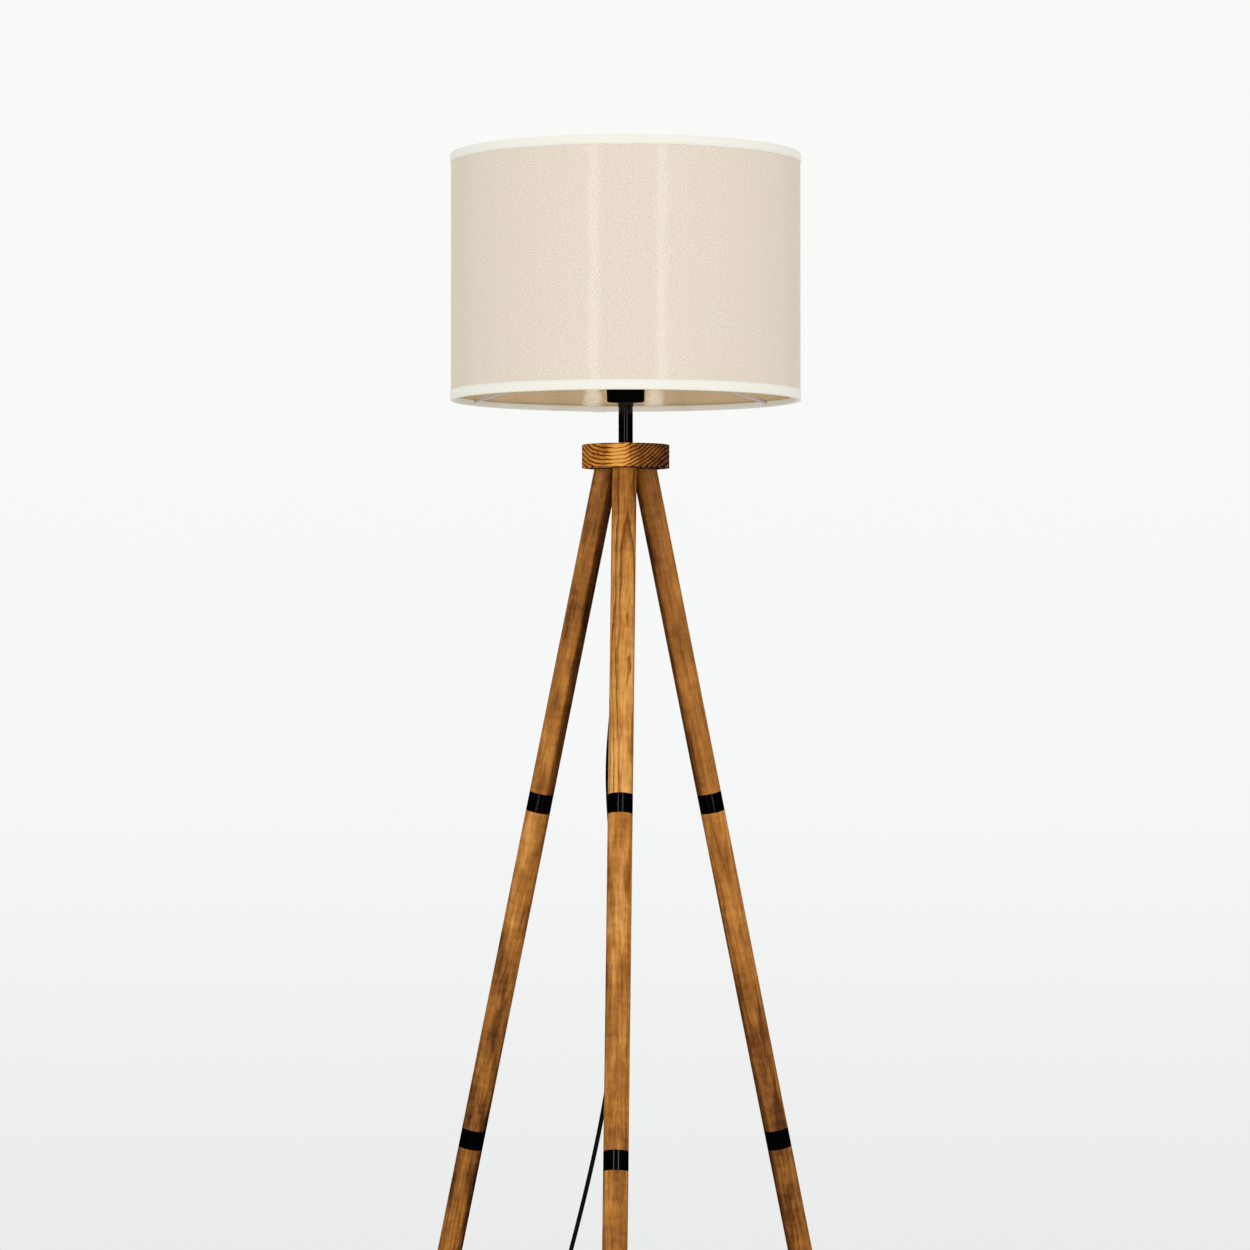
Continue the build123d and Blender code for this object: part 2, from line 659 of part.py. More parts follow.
def cord_tube(name, route):
    """Straight runs joined by tangent arcs, swept with the cord's round section."""
    radii = corner_radii(route)
    path = FilletPolyline(*route, radius=radii)
    solid = sweep(Plane(origin=path @ 0, z_dir=path % 0) * Circle(CORD_R), path=path)
    share = solid.volume / (math.pi * CORD_R**2 * path.length)
    print(name, "length", round(path.length, 1), "volume share", round(share, 4))
    print("  radii", [round(r) for r in radii])
    runs = [(Vector(*b) - Vector(*a)).length for a, b in zip(route, route[1:])]
    print("  runs", [round(r, 1) for r in runs])
    return solid


def cord_coil():
    coil = tube(COIL_OUTER, COIL_INNER, 0, COIL_HEIGHT)
    coil = fillet(coil.edges().filter_by(GeomType.CIRCLE), COIL_CORNER)
    return Pos(COIL_CENTRE[0], COIL_CENTRE[1], 0) * coil


# ------------------------------------------------------------------ foot switch
SWITCH_PLACE = Pos(SWITCH_CENTRE[0], SWITCH_CENTRE[1], 0) * Rot(0, 0, SWITCH_HEADING)
SWITCH_SCREW_PLACES = [Pos(side * SWITCH_SCREW_X, 0, 0) for side in (-1, 1)]


def switch_outline(inset, start, end):
    """The housing's plan, a slot with round ends, inset all round."""
    slot = SlotOverall(SWITCH_LENGTH - 2 * inset, SWITCH_WIDTH - 2 * inset)
    return extrude(Plane.XY.offset(start) * slot, end - start)


def cord_bore():
    """The way of the cord through both ends of the housing."""
    length = SWITCH_LENGTH + 2 * BOOT_LENGTH + 2
    return Pos(0, 0, SWITCH_CORD_Z) * Rot(0, 90, 0) * Cylinder(CORD_R + 0.3, length)


def switch_base():
    base = switch_outline(0, 0, SWITCH_SPLIT)
    base = chamfer(base.edges().group_by(Axis.Z)[0], 1.0)
    base -= switch_outline(SWITCH_WALL, SWITCH_WALL, SWITCH_SPLIT + 1)
    for place in SWITCH_SCREW_PLACES:
        base += place * rod(SWITCH_POST_DIAMETER / 2, SWITCH_WALL, SWITCH_SPLIT)
    cup = SPRING_DIAMETER / 2 + 0.4
    base += tube(cup + SPRING_CUP_WALL, cup, SWITCH_WALL, SPRING_CUP_TOP)
    base -= cord_bore() - Box(SWITCH_LENGTH - 24, SWITCH_WIDTH, BIG)
    head_diameter, head_height = SWITCH_SCREW_HEAD
    for place in SWITCH_SCREW_PLACES:
        base -= place * rod(SWITCH_SCREW_DIAMETER / 2 + 0.3, -1, SWITCH_SPLIT + 1)
        base -= place * rod(head_diameter / 2 + 0.1, -1, SWITCH_SCREW_SET_IN + head_height + 0.1)
    return SWITCH_PLACE * base


def switch_cover():
    cover = switch_outline(0, SWITCH_SPLIT, SWITCH_HEIGHT)
    cover = fillet(cover.edges().group_by(Axis.Z)[-1], SWITCH_CORNER)
    cover -= switch_outline(SWITCH_WALL, SWITCH_SPLIT - 1, SWITCH_HEIGHT - SWITCH_CORNER - 0.5)
    cover -= switch_outline(SWITCH_CORNER, SWITCH_SPLIT, SWITCH_HEIGHT - SWITCH_WALL)
    for place in SWITCH_SCREW_PLACES:
        cover += place * rod(SWITCH_POST_DIAMETER / 2, SWITCH_SPLIT, SWITCH_HEIGHT - SWITCH_WALL)
        hole_end = SWITCH_SPLIT + SWITCH_SCREW_REACH + 0.5
        cover -= place * rod(SWITCH_SCREW_DIAMETER / 2 + 0.05, SWITCH_SPLIT - 1, hole_end)
    cover -= rod(BUTTON_DIAMETER / 2 + BUTTON_GAP, SWITCH_SPLIT, SWITCH_HEIGHT + 1)
    return SWITCH_PLACE * cover


def switch_button():
    """Domed push button, held under the cover by its skirt."""
    top = SWITCH_HEIGHT + BUTTON_PROUD
    skirt_top = SWITCH_HEIGHT - SWITCH_WALL - 0.2
    button = rod(BUTTON_DIAMETER / 2, skirt_top - 5.0, top)
    button = fillet(button.edges().group_by(Axis.Z)[-1], 2.0)
    button += rod(BUTTON_DIAMETER / 2 + BUTTON_SKIRT, skirt_top - 1.8, skirt_top)
    button -= rod(BUTTON_DIAMETER / 2 - 2.0, skirt_top - 6.0, top - 2.5)
    button -= Pos(0, 0, top + 42.0) * Sphere(43.0)
    return SWITCH_PLACE * button


def switch_spring():
    """Compression spring between the base and the button."""
    start = SWITCH_WALL + SPRING_WIRE / 2 + 0.02
    end = SWITCH_HEIGHT + BUTTON_PROUD - 2.5 - SPRING_WIRE / 2 - 0.02
    radius = (SPRING_DIAMETER - SPRING_WIRE) / 2
    path = Pos(0, 0, start) * Helix((end - start) / SPRING_TURNS, end - start, radius)
    wire = sweep(Plane(origin=path @ 0, z_dir=path % 0) * Circle(SPRING_WIRE / 2), path=path, is_frenet=True)
    return SWITCH_PLACE * wire


def switch_screw():
    """Countersunk cross-head screw from the base's underside into the cover."""
    diameter, height = SWITCH_SCREW_HEAD
    head_top = SWITCH_SCREW_SET_IN + height
    head = taper(diameter / 2, SWITCH_SCREW_DIAMETER / 2, SWITCH_SCREW_SET_IN, head_top)
    length, width = SWITCH_SCREW_SLOT
    cross = Box(length, width, height) + Box(width, length, height)
    return head + rod(SWITCH_SCREW_DIAMETER / 2, head_top, SWITCH_SPLIT + SWITCH_SCREW_REACH) - cross


def switch_boots():
    """Tapered rubber reliefs where the cord enters and leaves the housing."""
    boot = taper(BOOT_ROOT_DIAMETER / 2, BOOT_TIP_DIAMETER / 2, 0, BOOT_LENGTH)
    for i in range(BOOT_GROOVES):
        height = 5.0 + 4.5 * i
        boot -= tube(8.0, BOOT_TIP_DIAMETER / 2 - 0.3, height, height + 1.4)
    boot -= rod(CORD_R + 0.1, -1, BOOT_LENGTH + 1)
    ends = [
        Pos(side * SWITCH_LENGTH / 2, 0, SWITCH_CORD_Z) * Rot(0, side * 90, 0) * boot
        for side in (-1, 1)
    ]
    return group([SWITCH_PLACE * end for end in ends])


# ------------------------------------------------------------------ plug
PLUG_PLACE = Pos(*PLUG_TIP) * Rot(0, 0, PLUG_HEADING)
PIN_SIDES = (-PIN_SPACING / 2, PIN_SPACING / 2)


def plug_body():
    """Flat two-pin plug, narrow at the cord and wide at the pins, with a ribbed relief."""
    end = PLUG_RELIEF + PLUG_BODY
    flank = [PLUG_NECK, PLUG_SHOULDER, (PLUG_FLARE_END, PLUG_WIDTH), (PLUG_BODY, PLUG_WIDTH)]
    left = [(PLUG_RELIEF + along, -width / 2) for along, width in flank]
    right = [(along, -across) for along, across in reversed(left)]
    outline = Polyline(*left, *right, close=True)
    body = extrude(Plane.XY.offset(-PLUG_THICKNESS / 2) * make_face(outline), PLUG_THICKNESS)
    body = fillet(body.edges().filter_by(Axis.Z), PLUG_CORNER)
    flat_faces = body.faces().sort_by(Axis.Z)
    body = chamfer(flat_faces[0].edges() + flat_faces[-1].edges(), PLUG_EDGE)
    thin, thick = PLUG_RELIEF_DIAMETERS
    relief = taper(thin / 2, thick / 2, 0, PLUG_RELIEF + 1)
    for i in range(PLUG_GROOVES):
        height = 3.0 + 4.4 * i
        relief -= tube(8.0, thin / 2 - 0.5 + 0.25 * i, height, height + 1.5)
    body += Rot(0, 90, 0) * relief
    body -= Rot(0, 90, 0) * rod(CORD_R + 0.1, -1, PLUG_RELIEF - 4)
    for side in PIN_SIDES:
        body -= Pos(end, side, 0) * Rot(0, 90, 0) * rod(PIN_ROOT_DIAMETER / 2, -PIN_ROOT, 1)
    return PLUG_PLACE * body


def plug_pin(side):
    end = PLUG_RELIEF + PLUG_BODY
    pin = rod(PIN_DIAMETER / 2, 0, PIN_LENGTH)
    pin = fillet(pin.edges().group_by(Axis.Z)[-1], PIN_TIP)
    pin += rod(PIN_ROOT_DIAMETER / 2, -PIN_ROOT, 0)
    return PLUG_PLACE * Pos(end, side, 0) * Rot(0, 90, 0) * pin


# ------------------------------------------------------------------ all nodes
def leg_nodes():
    nodes = {}
    for name, place in LEG_PLACES.items():
        first, second = SECTION_JOINTS
        nodes[f"leg_{name}_upper"] = upper_section(place)
        nodes[f"leg_{name}_middle"] = place * leg_section(first, second, True, True)
        nodes[f"leg_{name}_lower"] = place * leg_section(second, LEG_END, True, False)
        nodes[f"ferrule_{name}_upper"] = place * ferrule(first)
        nodes[f"ferrule_{name}_lower"] = place * ferrule(second)
        nodes[f"foot_{name}"] = foot(place)
    return nodes


def fastener_nodes():
    studs = [part for joint in SECTION_JOINTS for part in on_each_leg(joint_stud(joint))]
    starts = [TOP_INSERT_START] + [joint + SHOULDER_GAP + 0.5 for joint in SECTION_JOINTS]
    inserts = [part for start in starts for part in on_each_leg(threaded_insert(start))]
    return {
        "leg_joint_studs": group(studs),
        "leg_threaded_inserts": group(inserts),
        "leg_top_screws": group(on_each_leg(leg_top_screw())),
        "leg_top_washers": group([leg_top_washer(azimuth) for azimuth in LEG_AZIMUTHS.values()]),
    }


def centre_nodes():
    return {
        "hub_disc": hub_disc(),
        "stem_tube": stem_tube(),
        "stem_nipple": stem_nipple(),
        "holder_collar_nut": holder_collar_nut(),
        "nipple_flange_nut": nipple_flange_nut(),
        "cord_grip": cord_grip(),
        "inner_lead": inner_lead(),
        "holder_cap": holder_cap(),
        "holder_barrel": holder_barrel(),
        "holder_terminal_block": holder_terminal_block(),
        "holder_terminal_screws": group([place * terminal_screw() for place in terminal_places()]),
        "holder_screw_shell": holder_screw_shell(),
        "holder_centre_contact": holder_centre_contact(),
        "shade_nut_lower": ring_nut(FITTER_Z - SHADE_CLEARANCE, False),
        "shade_nut_upper": ring_nut(FITTER_Z + FITTER_THICKNESS + SHADE_CLEARANCE, True),
        "bulb_cap": bulb_cap(),
        "bulb_contact": bulb_contact(),
        "bulb_collar": bulb_collar(),
        "bulb_globe": bulb_globe(),
    }


def shade_nodes():
    return {
        "shade_drum": shade_drum(),
        "shade_trim_top": at_shade_top(shade_trim(TRIM_TOP_WIDTH)),
        "shade_trim_bottom": bottom_trim(),
        "shade_wire_top": at_shade_top(shade_wire()),
        "shade_wire_bottom": at_shade_bottom(shade_wire()),
        "spider_fitter_ring": fitter_ring(),
        "spider_arms": group([spider_arm(azimuth, SPIDER_WIRE) for azimuth in SPIDER_AZIMUTHS]),
    }


def cord_nodes():
    return {
        "cord_hanging": cord_tube("cord_hanging", HANGING_ROUTE),
        "cord_floor_run": cord_tube("cord_floor_run", FLOOR_ROUTE),
        "cord_coil": cord_coil(),
        "cord_tail": cord_tube("cord_tail", TAIL_ROUTE),
        "switch_base": switch_base(),
        "switch_cover": switch_cover(),
        "switch_button": switch_button(),
        "switch_spring": switch_spring(),
        "switch_screws": group([SWITCH_PLACE * place * switch_screw() for place in SWITCH_SCREW_PLACES]),
        "switch_boots": switch_boots(),
        "plug_body": plug_body(),
        "plug_pins": group([plug_pin(side) for side in PIN_SIDES]),
    }


def main():
    os.makedirs("parts", exist_ok=True)
    nodes = {**centre_nodes(), **leg_nodes(), **fastener_nodes(), **shade_nodes(), **cord_nodes()}
    for name, part in nodes.items():
        part.label = name
        export_step(part, f"parts/{name}.step")
    print(len(nodes), "nodes")


main()
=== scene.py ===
import json
import math

import bpy
from mathutils import Matrix, Vector


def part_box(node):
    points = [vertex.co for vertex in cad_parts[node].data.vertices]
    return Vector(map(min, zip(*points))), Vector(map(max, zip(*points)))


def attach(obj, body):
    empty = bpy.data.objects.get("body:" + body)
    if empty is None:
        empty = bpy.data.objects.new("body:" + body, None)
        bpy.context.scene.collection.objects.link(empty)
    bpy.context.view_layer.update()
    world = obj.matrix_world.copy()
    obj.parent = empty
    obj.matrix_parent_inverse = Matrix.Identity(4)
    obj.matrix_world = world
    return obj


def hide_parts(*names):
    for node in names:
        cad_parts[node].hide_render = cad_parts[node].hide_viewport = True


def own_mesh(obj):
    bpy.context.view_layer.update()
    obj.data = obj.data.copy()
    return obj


# Tripod floor lamp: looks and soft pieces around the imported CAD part. Metres, +Z up.

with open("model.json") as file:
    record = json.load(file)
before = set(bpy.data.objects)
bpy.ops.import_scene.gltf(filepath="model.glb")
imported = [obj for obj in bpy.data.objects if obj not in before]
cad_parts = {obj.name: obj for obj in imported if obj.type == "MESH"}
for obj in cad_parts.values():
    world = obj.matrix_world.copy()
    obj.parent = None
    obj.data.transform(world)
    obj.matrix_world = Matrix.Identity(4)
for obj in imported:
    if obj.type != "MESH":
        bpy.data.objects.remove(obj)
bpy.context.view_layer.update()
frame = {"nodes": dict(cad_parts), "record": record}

MM = 0.001
HUB_LOW, HUB_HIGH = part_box("hub_disc")
HUB_Z = HUB_LOW.z
SHADE_LOW, SHADE_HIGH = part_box("shade_drum")
SHADE_R = SHADE_HIGH.x


# ------------------------------------------------------------------ camera
# One perspective camera, fitted to the outlines of the shade, the hub and the legs.
CAMERA_OFF_AXIS = -0.0393
CAMERA_DISTANCE = 5.668
CAMERA_BELOW_HUB = 0.2921
CAMERA_PITCH = math.radians(1.139)
CAMERA_YAW = -0.0068
CAMERA_LENS = 142.87


def make_camera():
    camera = bpy.data.objects.new("camera", bpy.data.cameras.new("camera"))
    bpy.context.scene.collection.objects.link(camera)
    camera.data.sensor_width = 36
    camera.data.lens = CAMERA_LENS
    camera.location = (CAMERA_OFF_AXIS, -CAMERA_DISTANCE, HUB_Z - CAMERA_BELOW_HUB)
    camera.rotation_euler = (math.pi / 2 + CAMERA_PITCH, 0, CAMERA_YAW)
    bpy.context.scene.camera = camera


# ------------------------------------------------------------------ meshes
def link(name, mesh):
    piece = bpy.data.objects.new(name, mesh)
    bpy.context.scene.collection.objects.link(piece)
    return piece


def ring_mesh(name, rings, marks, sharp_angle=40):
    """A closed skin over rings of points, with flat caps. marks holds each ring's distance along it."""
    count = len(rings[0])
    around = [0.0]
    first = rings[0]
    for i in range(count):
        around.append(around[-1] + (first[(i + 1) % count] - first[i]).length)
    points = [point for ring in rings for point in ring]
    faces = []
    corners = []
    for row in range(len(rings) - 1):
        for i in range(count):
            j = (i + 1) % count
            low = row * count
            high = low + count
            faces.append((low + i, low + j, high + j, high + i))
            near, far = marks[row], marks[row + 1]
            here, ahead = around[i], around[i + 1]
            corners += [(near, here), (near, ahead), (far, ahead), (far, here)]
    last = (len(rings) - 1) * count
    faces.append(tuple(range(count - 1, -1, -1)))
    faces.append(tuple(range(last, last + count)))
    corners += [(marks[0], around[i]) for i in range(count - 1, -1, -1)]
    corners += [(marks[-1], around[i]) for i in range(count)]
    mesh = bpy.data.meshes.new(name)
    mesh.from_pydata(points, [], faces)
    layer = mesh.uv_layers.new(name="metres")
    layer.data.foreach_set("uv", [x for corner in corners for x in corner])
    mesh.shade_smooth()
    mesh.set_sharp_from_angle(angle=math.radians(sharp_angle))
    return mesh


# ------------------------------------------------------------------ cord
CORD_DIAMETER = 5 * MM
# The cords' control points, the same as the CAD's.
HANGING_ROUTE = [
    (0, 0, 1.144),
    (0, 0, 1.096),
    (-0.0035, 0.0025, 1.036),
    (-0.009, 0.004, 0.971),
    (-0.015, 0.0035, 0.904),
    (-0.0215, 0.0015, 0.830),
    (-0.0185, 0.002, 0.762),
    (-0.012, 0.0035, 0.696),
    (-0.0085, 0.005, 0.629),
    (-0.010, 0.006, 0.562),
    (-0.016, 0.007, 0.497),
    (-0.026, 0.0075, 0.432),
    (-0.0405, 0.008, 0.364),
    (-0.0575, 0.0085, 0.295),
    (-0.076, 0.0095, 0.227),
    (-0.094, 0.011, 0.162),
    (-0.107, 0.012, 0.107),
    (-0.121, 0.010, 0.062),
    (-0.138, 0.003, 0.030),
    (-0.153, -0.014, 0.010),
    (-0.16776, -0.04725, 0.0044),
    (-0.17349, -0.07974, 0.0044),
]
FLOOR_ROUTE = [
    (-0.19051, -0.17626, 0.0044),
    (-0.19624, -0.20875, 0.0044),
    (-0.192, -0.2425, 0.0026),
    (-0.171, -0.262, 0.0026),
    (-0.144, -0.266, 0.0026),
    (-0.119, -0.266, 0.0026),
]
TAIL_ROUTE = [
    (-0.080, -0.242, 0.0075),
    (-0.080, -0.222, 0.0066),
    (-0.0815, -0.202, 0.0032),
    (-0.0845, -0.181, 0.0030),
    (-0.0875, -0.1628, 0.0070),
    (-0.08969, -0.14897, 0.0070),
]
# The coil between floor route and tail, counterclockwise: (angle in degrees, radius, height).
COIL_CENTRE = (-0.110, -0.236)
COIL_STATIONS = [
    (270, 0.030, 0.0025),
    (560, 0.030, 0.0025),
    (620, 0.025, 0.0025),
    (860, 0.025, 0.0025),
    (920, 0.025, 0.0075),
    (1220, 0.025, 0.0075),
    (1280, 0.025, 0.0125),
    (1520, 0.025, 0.0125),
    (1580, 0.030, 0.0125),
    (1800, 0.030, 0.0125),
    (1860, 0.030, 0.0075),
    (2130, 0.030, 0.0075),
]
COIL_STEP = 20  # degrees
SPLINE_STEPS = 16  # between two control points
CORD_SIDES = 20
SPRING_WIRE = 0.9 * MM
SPRING_TURNS = 7
SPRING_STEPS = 24  # per turn
SPRING_SIDES = 10


def coil_route():
    """The coil's control points, evenly spaced between its stations."""
    points = []
    for (start, r_a, z_a), (end, r_b, z_b) in zip(COIL_STATIONS, COIL_STATIONS[1:]):
        steps = round((end - start) / COIL_STEP)
        for i in range(steps):
            share = i / steps
            turn = math.radians(start + (end - start) * share)
            radius = r_a + (r_b - r_a) * share
            height = z_a + (z_b - z_a) * share
            x = COIL_CENTRE[0] + radius * math.cos(turn)
            y = COIL_CENTRE[1] + radius * math.sin(turn)
            points.append((x, y, height))
    return points


def spline_line(route):
    """The smooth centreline of a cord: the NURBS spline that has the route as its control points."""
    curve = bpy.data.curves.new("route", "CURVE")
    curve.dimensions = "3D"
    curve.resolution_u = SPLINE_STEPS
    spline = curve.splines.new("NURBS")
    spline.points.add(len(route) - 1)
    for point, place in zip(spline.points, route):
        point.co = (*place, 1)
    spline.order_u = 3
    spline.use_endpoint_u = True
    holder = bpy.data.objects.new("route", curve)
    mesh = bpy.data.meshes.new_from_object(holder)
    line = [v.co.copy() for v in mesh.vertices]
    bpy.data.objects.remove(holder)
    bpy.data.curves.remove(curve)
    bpy.data.meshes.remove(mesh)
    return line


def round_tube(name, line, diameter, sides):
    """A round tube along a line, with a frame carried along it so that its surface doesn't twist."""
    side = Vector((1, 0, 0))
    turns = [2 * math.pi * k / sides for k in range(sides)]
    rings = []
    marks = [0.0]
    for i, point in enumerate(line):
        before = line[max(i - 1, 0)]
        after = line[min(i + 1, len(line) - 1)]
        ahead = (after - before).normalized()
        side = (side - ahead * side.dot(ahead)).normalized()
        other = ahead.cross(side)
        rings.append([point + (side * math.cos(t) + other * math.sin(t)) * diameter / 2 for t in turns])
        if i:
            marks.append(marks[-1] + (point - line[i - 1]).length)
    return link(name, ring_mesh(name, rings, marks, sharp_angle=60))


def switch_spring():
    """The foot switch's return spring, with closed end turns."""
    low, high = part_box("switch_spring")
    centre_x = (low.x + high.x) / 2
    centre_y = (low.y + high.y) / 2
    radius = (high.x - low.x - SPRING_WIRE) / 2
    bottom = low.z + SPRING_WIRE / 2
    top = high.z - SPRING_WIRE / 2
    open_rise = (top - bottom - 2 * SPRING_WIRE) / (SPRING_TURNS - 2)
    line = []
    for i in range(SPRING_TURNS * SPRING_STEPS + 1):
        turns = i / SPRING_STEPS
        opened = min(max(turns - 1, 0), SPRING_TURNS - 2)
        height = bottom + SPRING_WIRE * (turns - opened) + open_rise * opened
        angle = 2 * math.pi * turns
        x = centre_x + radius * math.cos(angle)
        y = centre_y + radius * math.sin(angle)
        line.append(Vector((x, y, height)))
    spring = round_tube("switch_coil_spring", line, SPRING_WIRE, SPRING_SIDES)
    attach(spring, "stand")
    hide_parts("switch_spring")
    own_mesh(spring)
    return spring


def make_cords():
    """The lead from the lamp to the foot switch, and the lead from there to the plug."""
    hanging = spline_line(HANGING_ROUTE)
    supply = spline_line(FLOOR_ROUTE + coil_route() + TAIL_ROUTE)
    lamp_lead = round_tube("lamp_lead", hanging, CORD_DIAMETER, CORD_SIDES)
    supply_lead = round_tube("supply_lead", supply, CORD_DIAMETER, CORD_SIDES)
    for lead in (lamp_lead, supply_lead):
        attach(lead, "stand")
    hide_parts("cord_hanging")
    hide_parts("cord_floor_run", "cord_coil", "cord_tail")
    return lamp_lead, supply_lead


# ------------------------------------------------------------------ shade: skin and tapes
SEGMENT = math.radians(0.5)
SKIN_THICKNESS = 0.9 * MM
SKIN_ROWS = 12
SKIN_SEAM = math.radians(95)  # azimuth of the lap's hidden end, at the back
SKIN_LAP = math.radians(4.5)
SKIN_RAMP = math.radians(9)
SKIN_STEP = math.radians(0.6)  # how soon the tape comes back down after the lap
TAPE_THICKNESS = 0.6 * MM
TAPE_LAP = math.radians(3.5)
TAPE_RAMP = math.radians(2.5)
TAPE_SEAMS = {"top": math.radians(103), "bottom": math.radians(97.5)}
TAPE_WIDTHS = {"top": 10 * MM, "bottom": 11 * MM}
TAPE_FOLD = 6 * MM
TAPE_EDGE_WAVER = 0.12 * MM
TAPE_FOLD_WAVER = 0.15 * MM
TAPE_PUCKER = 0.05 * MM
FOLD_R = SHADE_R - 4.2 * MM  # outer face of the part folded inside
ARM_AZIMUTHS = [math.radians(a) for a in (33, 153, 273)]
NOTCH_HALF_WIDTH = math.radians(0.8)
NOTCH_FOLD = 2.4 * MM


def smooth(share):
    share = min(max(share, 0.0), 1.0)
    return share * share * (3 - 2 * share)


def apart(a, b):
    """The signed angle from b to a, from minus a half turn to a half turn."""
    return (a - b + math.pi) % (2 * math.pi) - math.pi


def lap_turns(seam, lap):
    """The angles of a strip that goes once round and laps over its own start."""
    steps = round((2 * math.pi + lap) / SEGMENT)
    return [seam + SEGMENT * i for i in range(steps + 1)]


def at(turn, radius, height):
    return Vector((radius * math.cos(turn), radius * math.sin(turn), height))


def shade_skin():
    """The stiff laminate: one strip bent round, its end glued over its start at the back."""
    turns = lap_turns(SKIN_SEAM, SKIN_LAP)
    lap_start = SKIN_SEAM + 2 * math.pi
    tall = SHADE_HIGH.z - SHADE_LOW.z
    heights = [SHADE_LOW.z + tall * i / SKIN_ROWS for i in range(SKIN_ROWS + 1)]
    rings = []
    for turn in turns:
        rise = SKIN_THICKNESS * smooth((turn - lap_start + SKIN_RAMP) / SKIN_RAMP)
        outer = SHADE_R + rise
        inner = outer - SKIN_THICKNESS
        ring = [at(turn, outer, z) for z in reversed(heights)]
        ring += [at(turn, inner, z) for z in heights]
        rings.append(ring)
    marks = [SHADE_R * (turn - SKIN_SEAM) for turn in turns]
    skin = link("shade_skin", ring_mesh("shade_skin", rings, marks))
    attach(skin, "shade")
    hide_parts("shade_drum")
    return skin


def skin_bump(turn):
    """How far the skin's lap pushes the tape out at this azimuth."""
    past = apart(turn, SKIN_SEAM)
    if past < 0:
        return SKIN_THICKNESS * smooth((past + SKIN_RAMP) / SKIN_RAMP)
    return SKIN_THICKNESS * smooth((SKIN_LAP + SKIN_STEP - past) / SKIN_STEP)


def tape_section(width, fold, out, over):
    """The folded tape's outline as (radius, height in from the rim). out and over push it outwards."""
    t = TAPE_THICKNESS
    skin_r = SHADE_R + out + over
    under = -over
    inside = FOLD_R - over
    outer_face = [
        (skin_r + 0.3 * t, width),
        (skin_r + t, width - 0.6 * t),
        (skin_r + t, 0.5 * width),
        (skin_r + t, 0.9 * MM),
        (skin_r + 0.7 * t, 0.1 * MM + under),
        (skin_r - 0.2 * t, -0.75 * t + under),
        (skin_r - 1.2 * MM, -t + under),
    ]
    inner_face = [
        (inside + 0.8 * MM, -t + under),
        (inside - 0.3 * t, -0.6 * t + under),
        (inside - t, 0.5 * MM),
        (inside - t, fold - 0.5 * t),
        (inside - 0.6 * t, fold),
        (inside - 0.05 * MM, fold),
        (inside, 0.5 * MM),
        (inside + 0.6 * MM, under),
    ]
    back = [(skin_r - 0.8 * MM, under), (skin_r, 0.5 * MM), (skin_r, width - 0.1 * t)]
    return outer_face + inner_face + back


def shade_tape(rim):
    """The folded tape over one rim, lapped at the back. The lower one is notched for the arms."""
    seam = TAPE_SEAMS[rim]
    turns = lap_turns(seam, TAPE_LAP)
    lap_start = seam + 2 * math.pi
    rings = []
    for turn in turns:
        over = TAPE_THICKNESS * smooth((turn - lap_start + TAPE_RAMP) / TAPE_RAMP)
        width = TAPE_WIDTHS[rim] + TAPE_EDGE_WAVER * (math.sin(11 * turn) + math.sin(27 * turn + 1.3))
        pucker = TAPE_PUCKER * math.sin(63 * turn) * math.sin(5 * turn + 0.4)
        near_arm = min(abs(apart(turn, azimuth)) for azimuth in ARM_AZIMUTHS)
        notched = rim == "bottom" and near_arm < NOTCH_HALF_WIDTH
        fold = NOTCH_FOLD if notched else TAPE_FOLD + TAPE_FOLD_WAVER * math.sin(9 * turn + 2)
        outline = tape_section(width, fold, skin_bump(turn) + max(pucker, 0), over)
        if rim == "bottom":
            rings.append([at(turn, r, SHADE_LOW.z + z) for r, z in outline])
        else:
            rings.append([at(turn, r, SHADE_HIGH.z - z) for r, z in reversed(outline)])
    marks = [SHADE_R * (turn - seam) for turn in turns]
    tape = link(f"shade_tape_{rim}", ring_mesh(f"shade_tape_{rim}", rings, marks, sharp_angle=75))
    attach(tape, "shade")
    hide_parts(f"shade_trim_{rim}")
    return tape


# ------------------------------------------------------------------ materials
def colour(red, green, blue):
    """A colour from its 0 to 255 display values."""
    values = [x / 255 for x in (red, green, blue)]
    linear = [x / 12.92 if x <= 0.04045 else ((x + 0.055) / 1.055) ** 2.4 for x in values]
    return (*linear, 1)


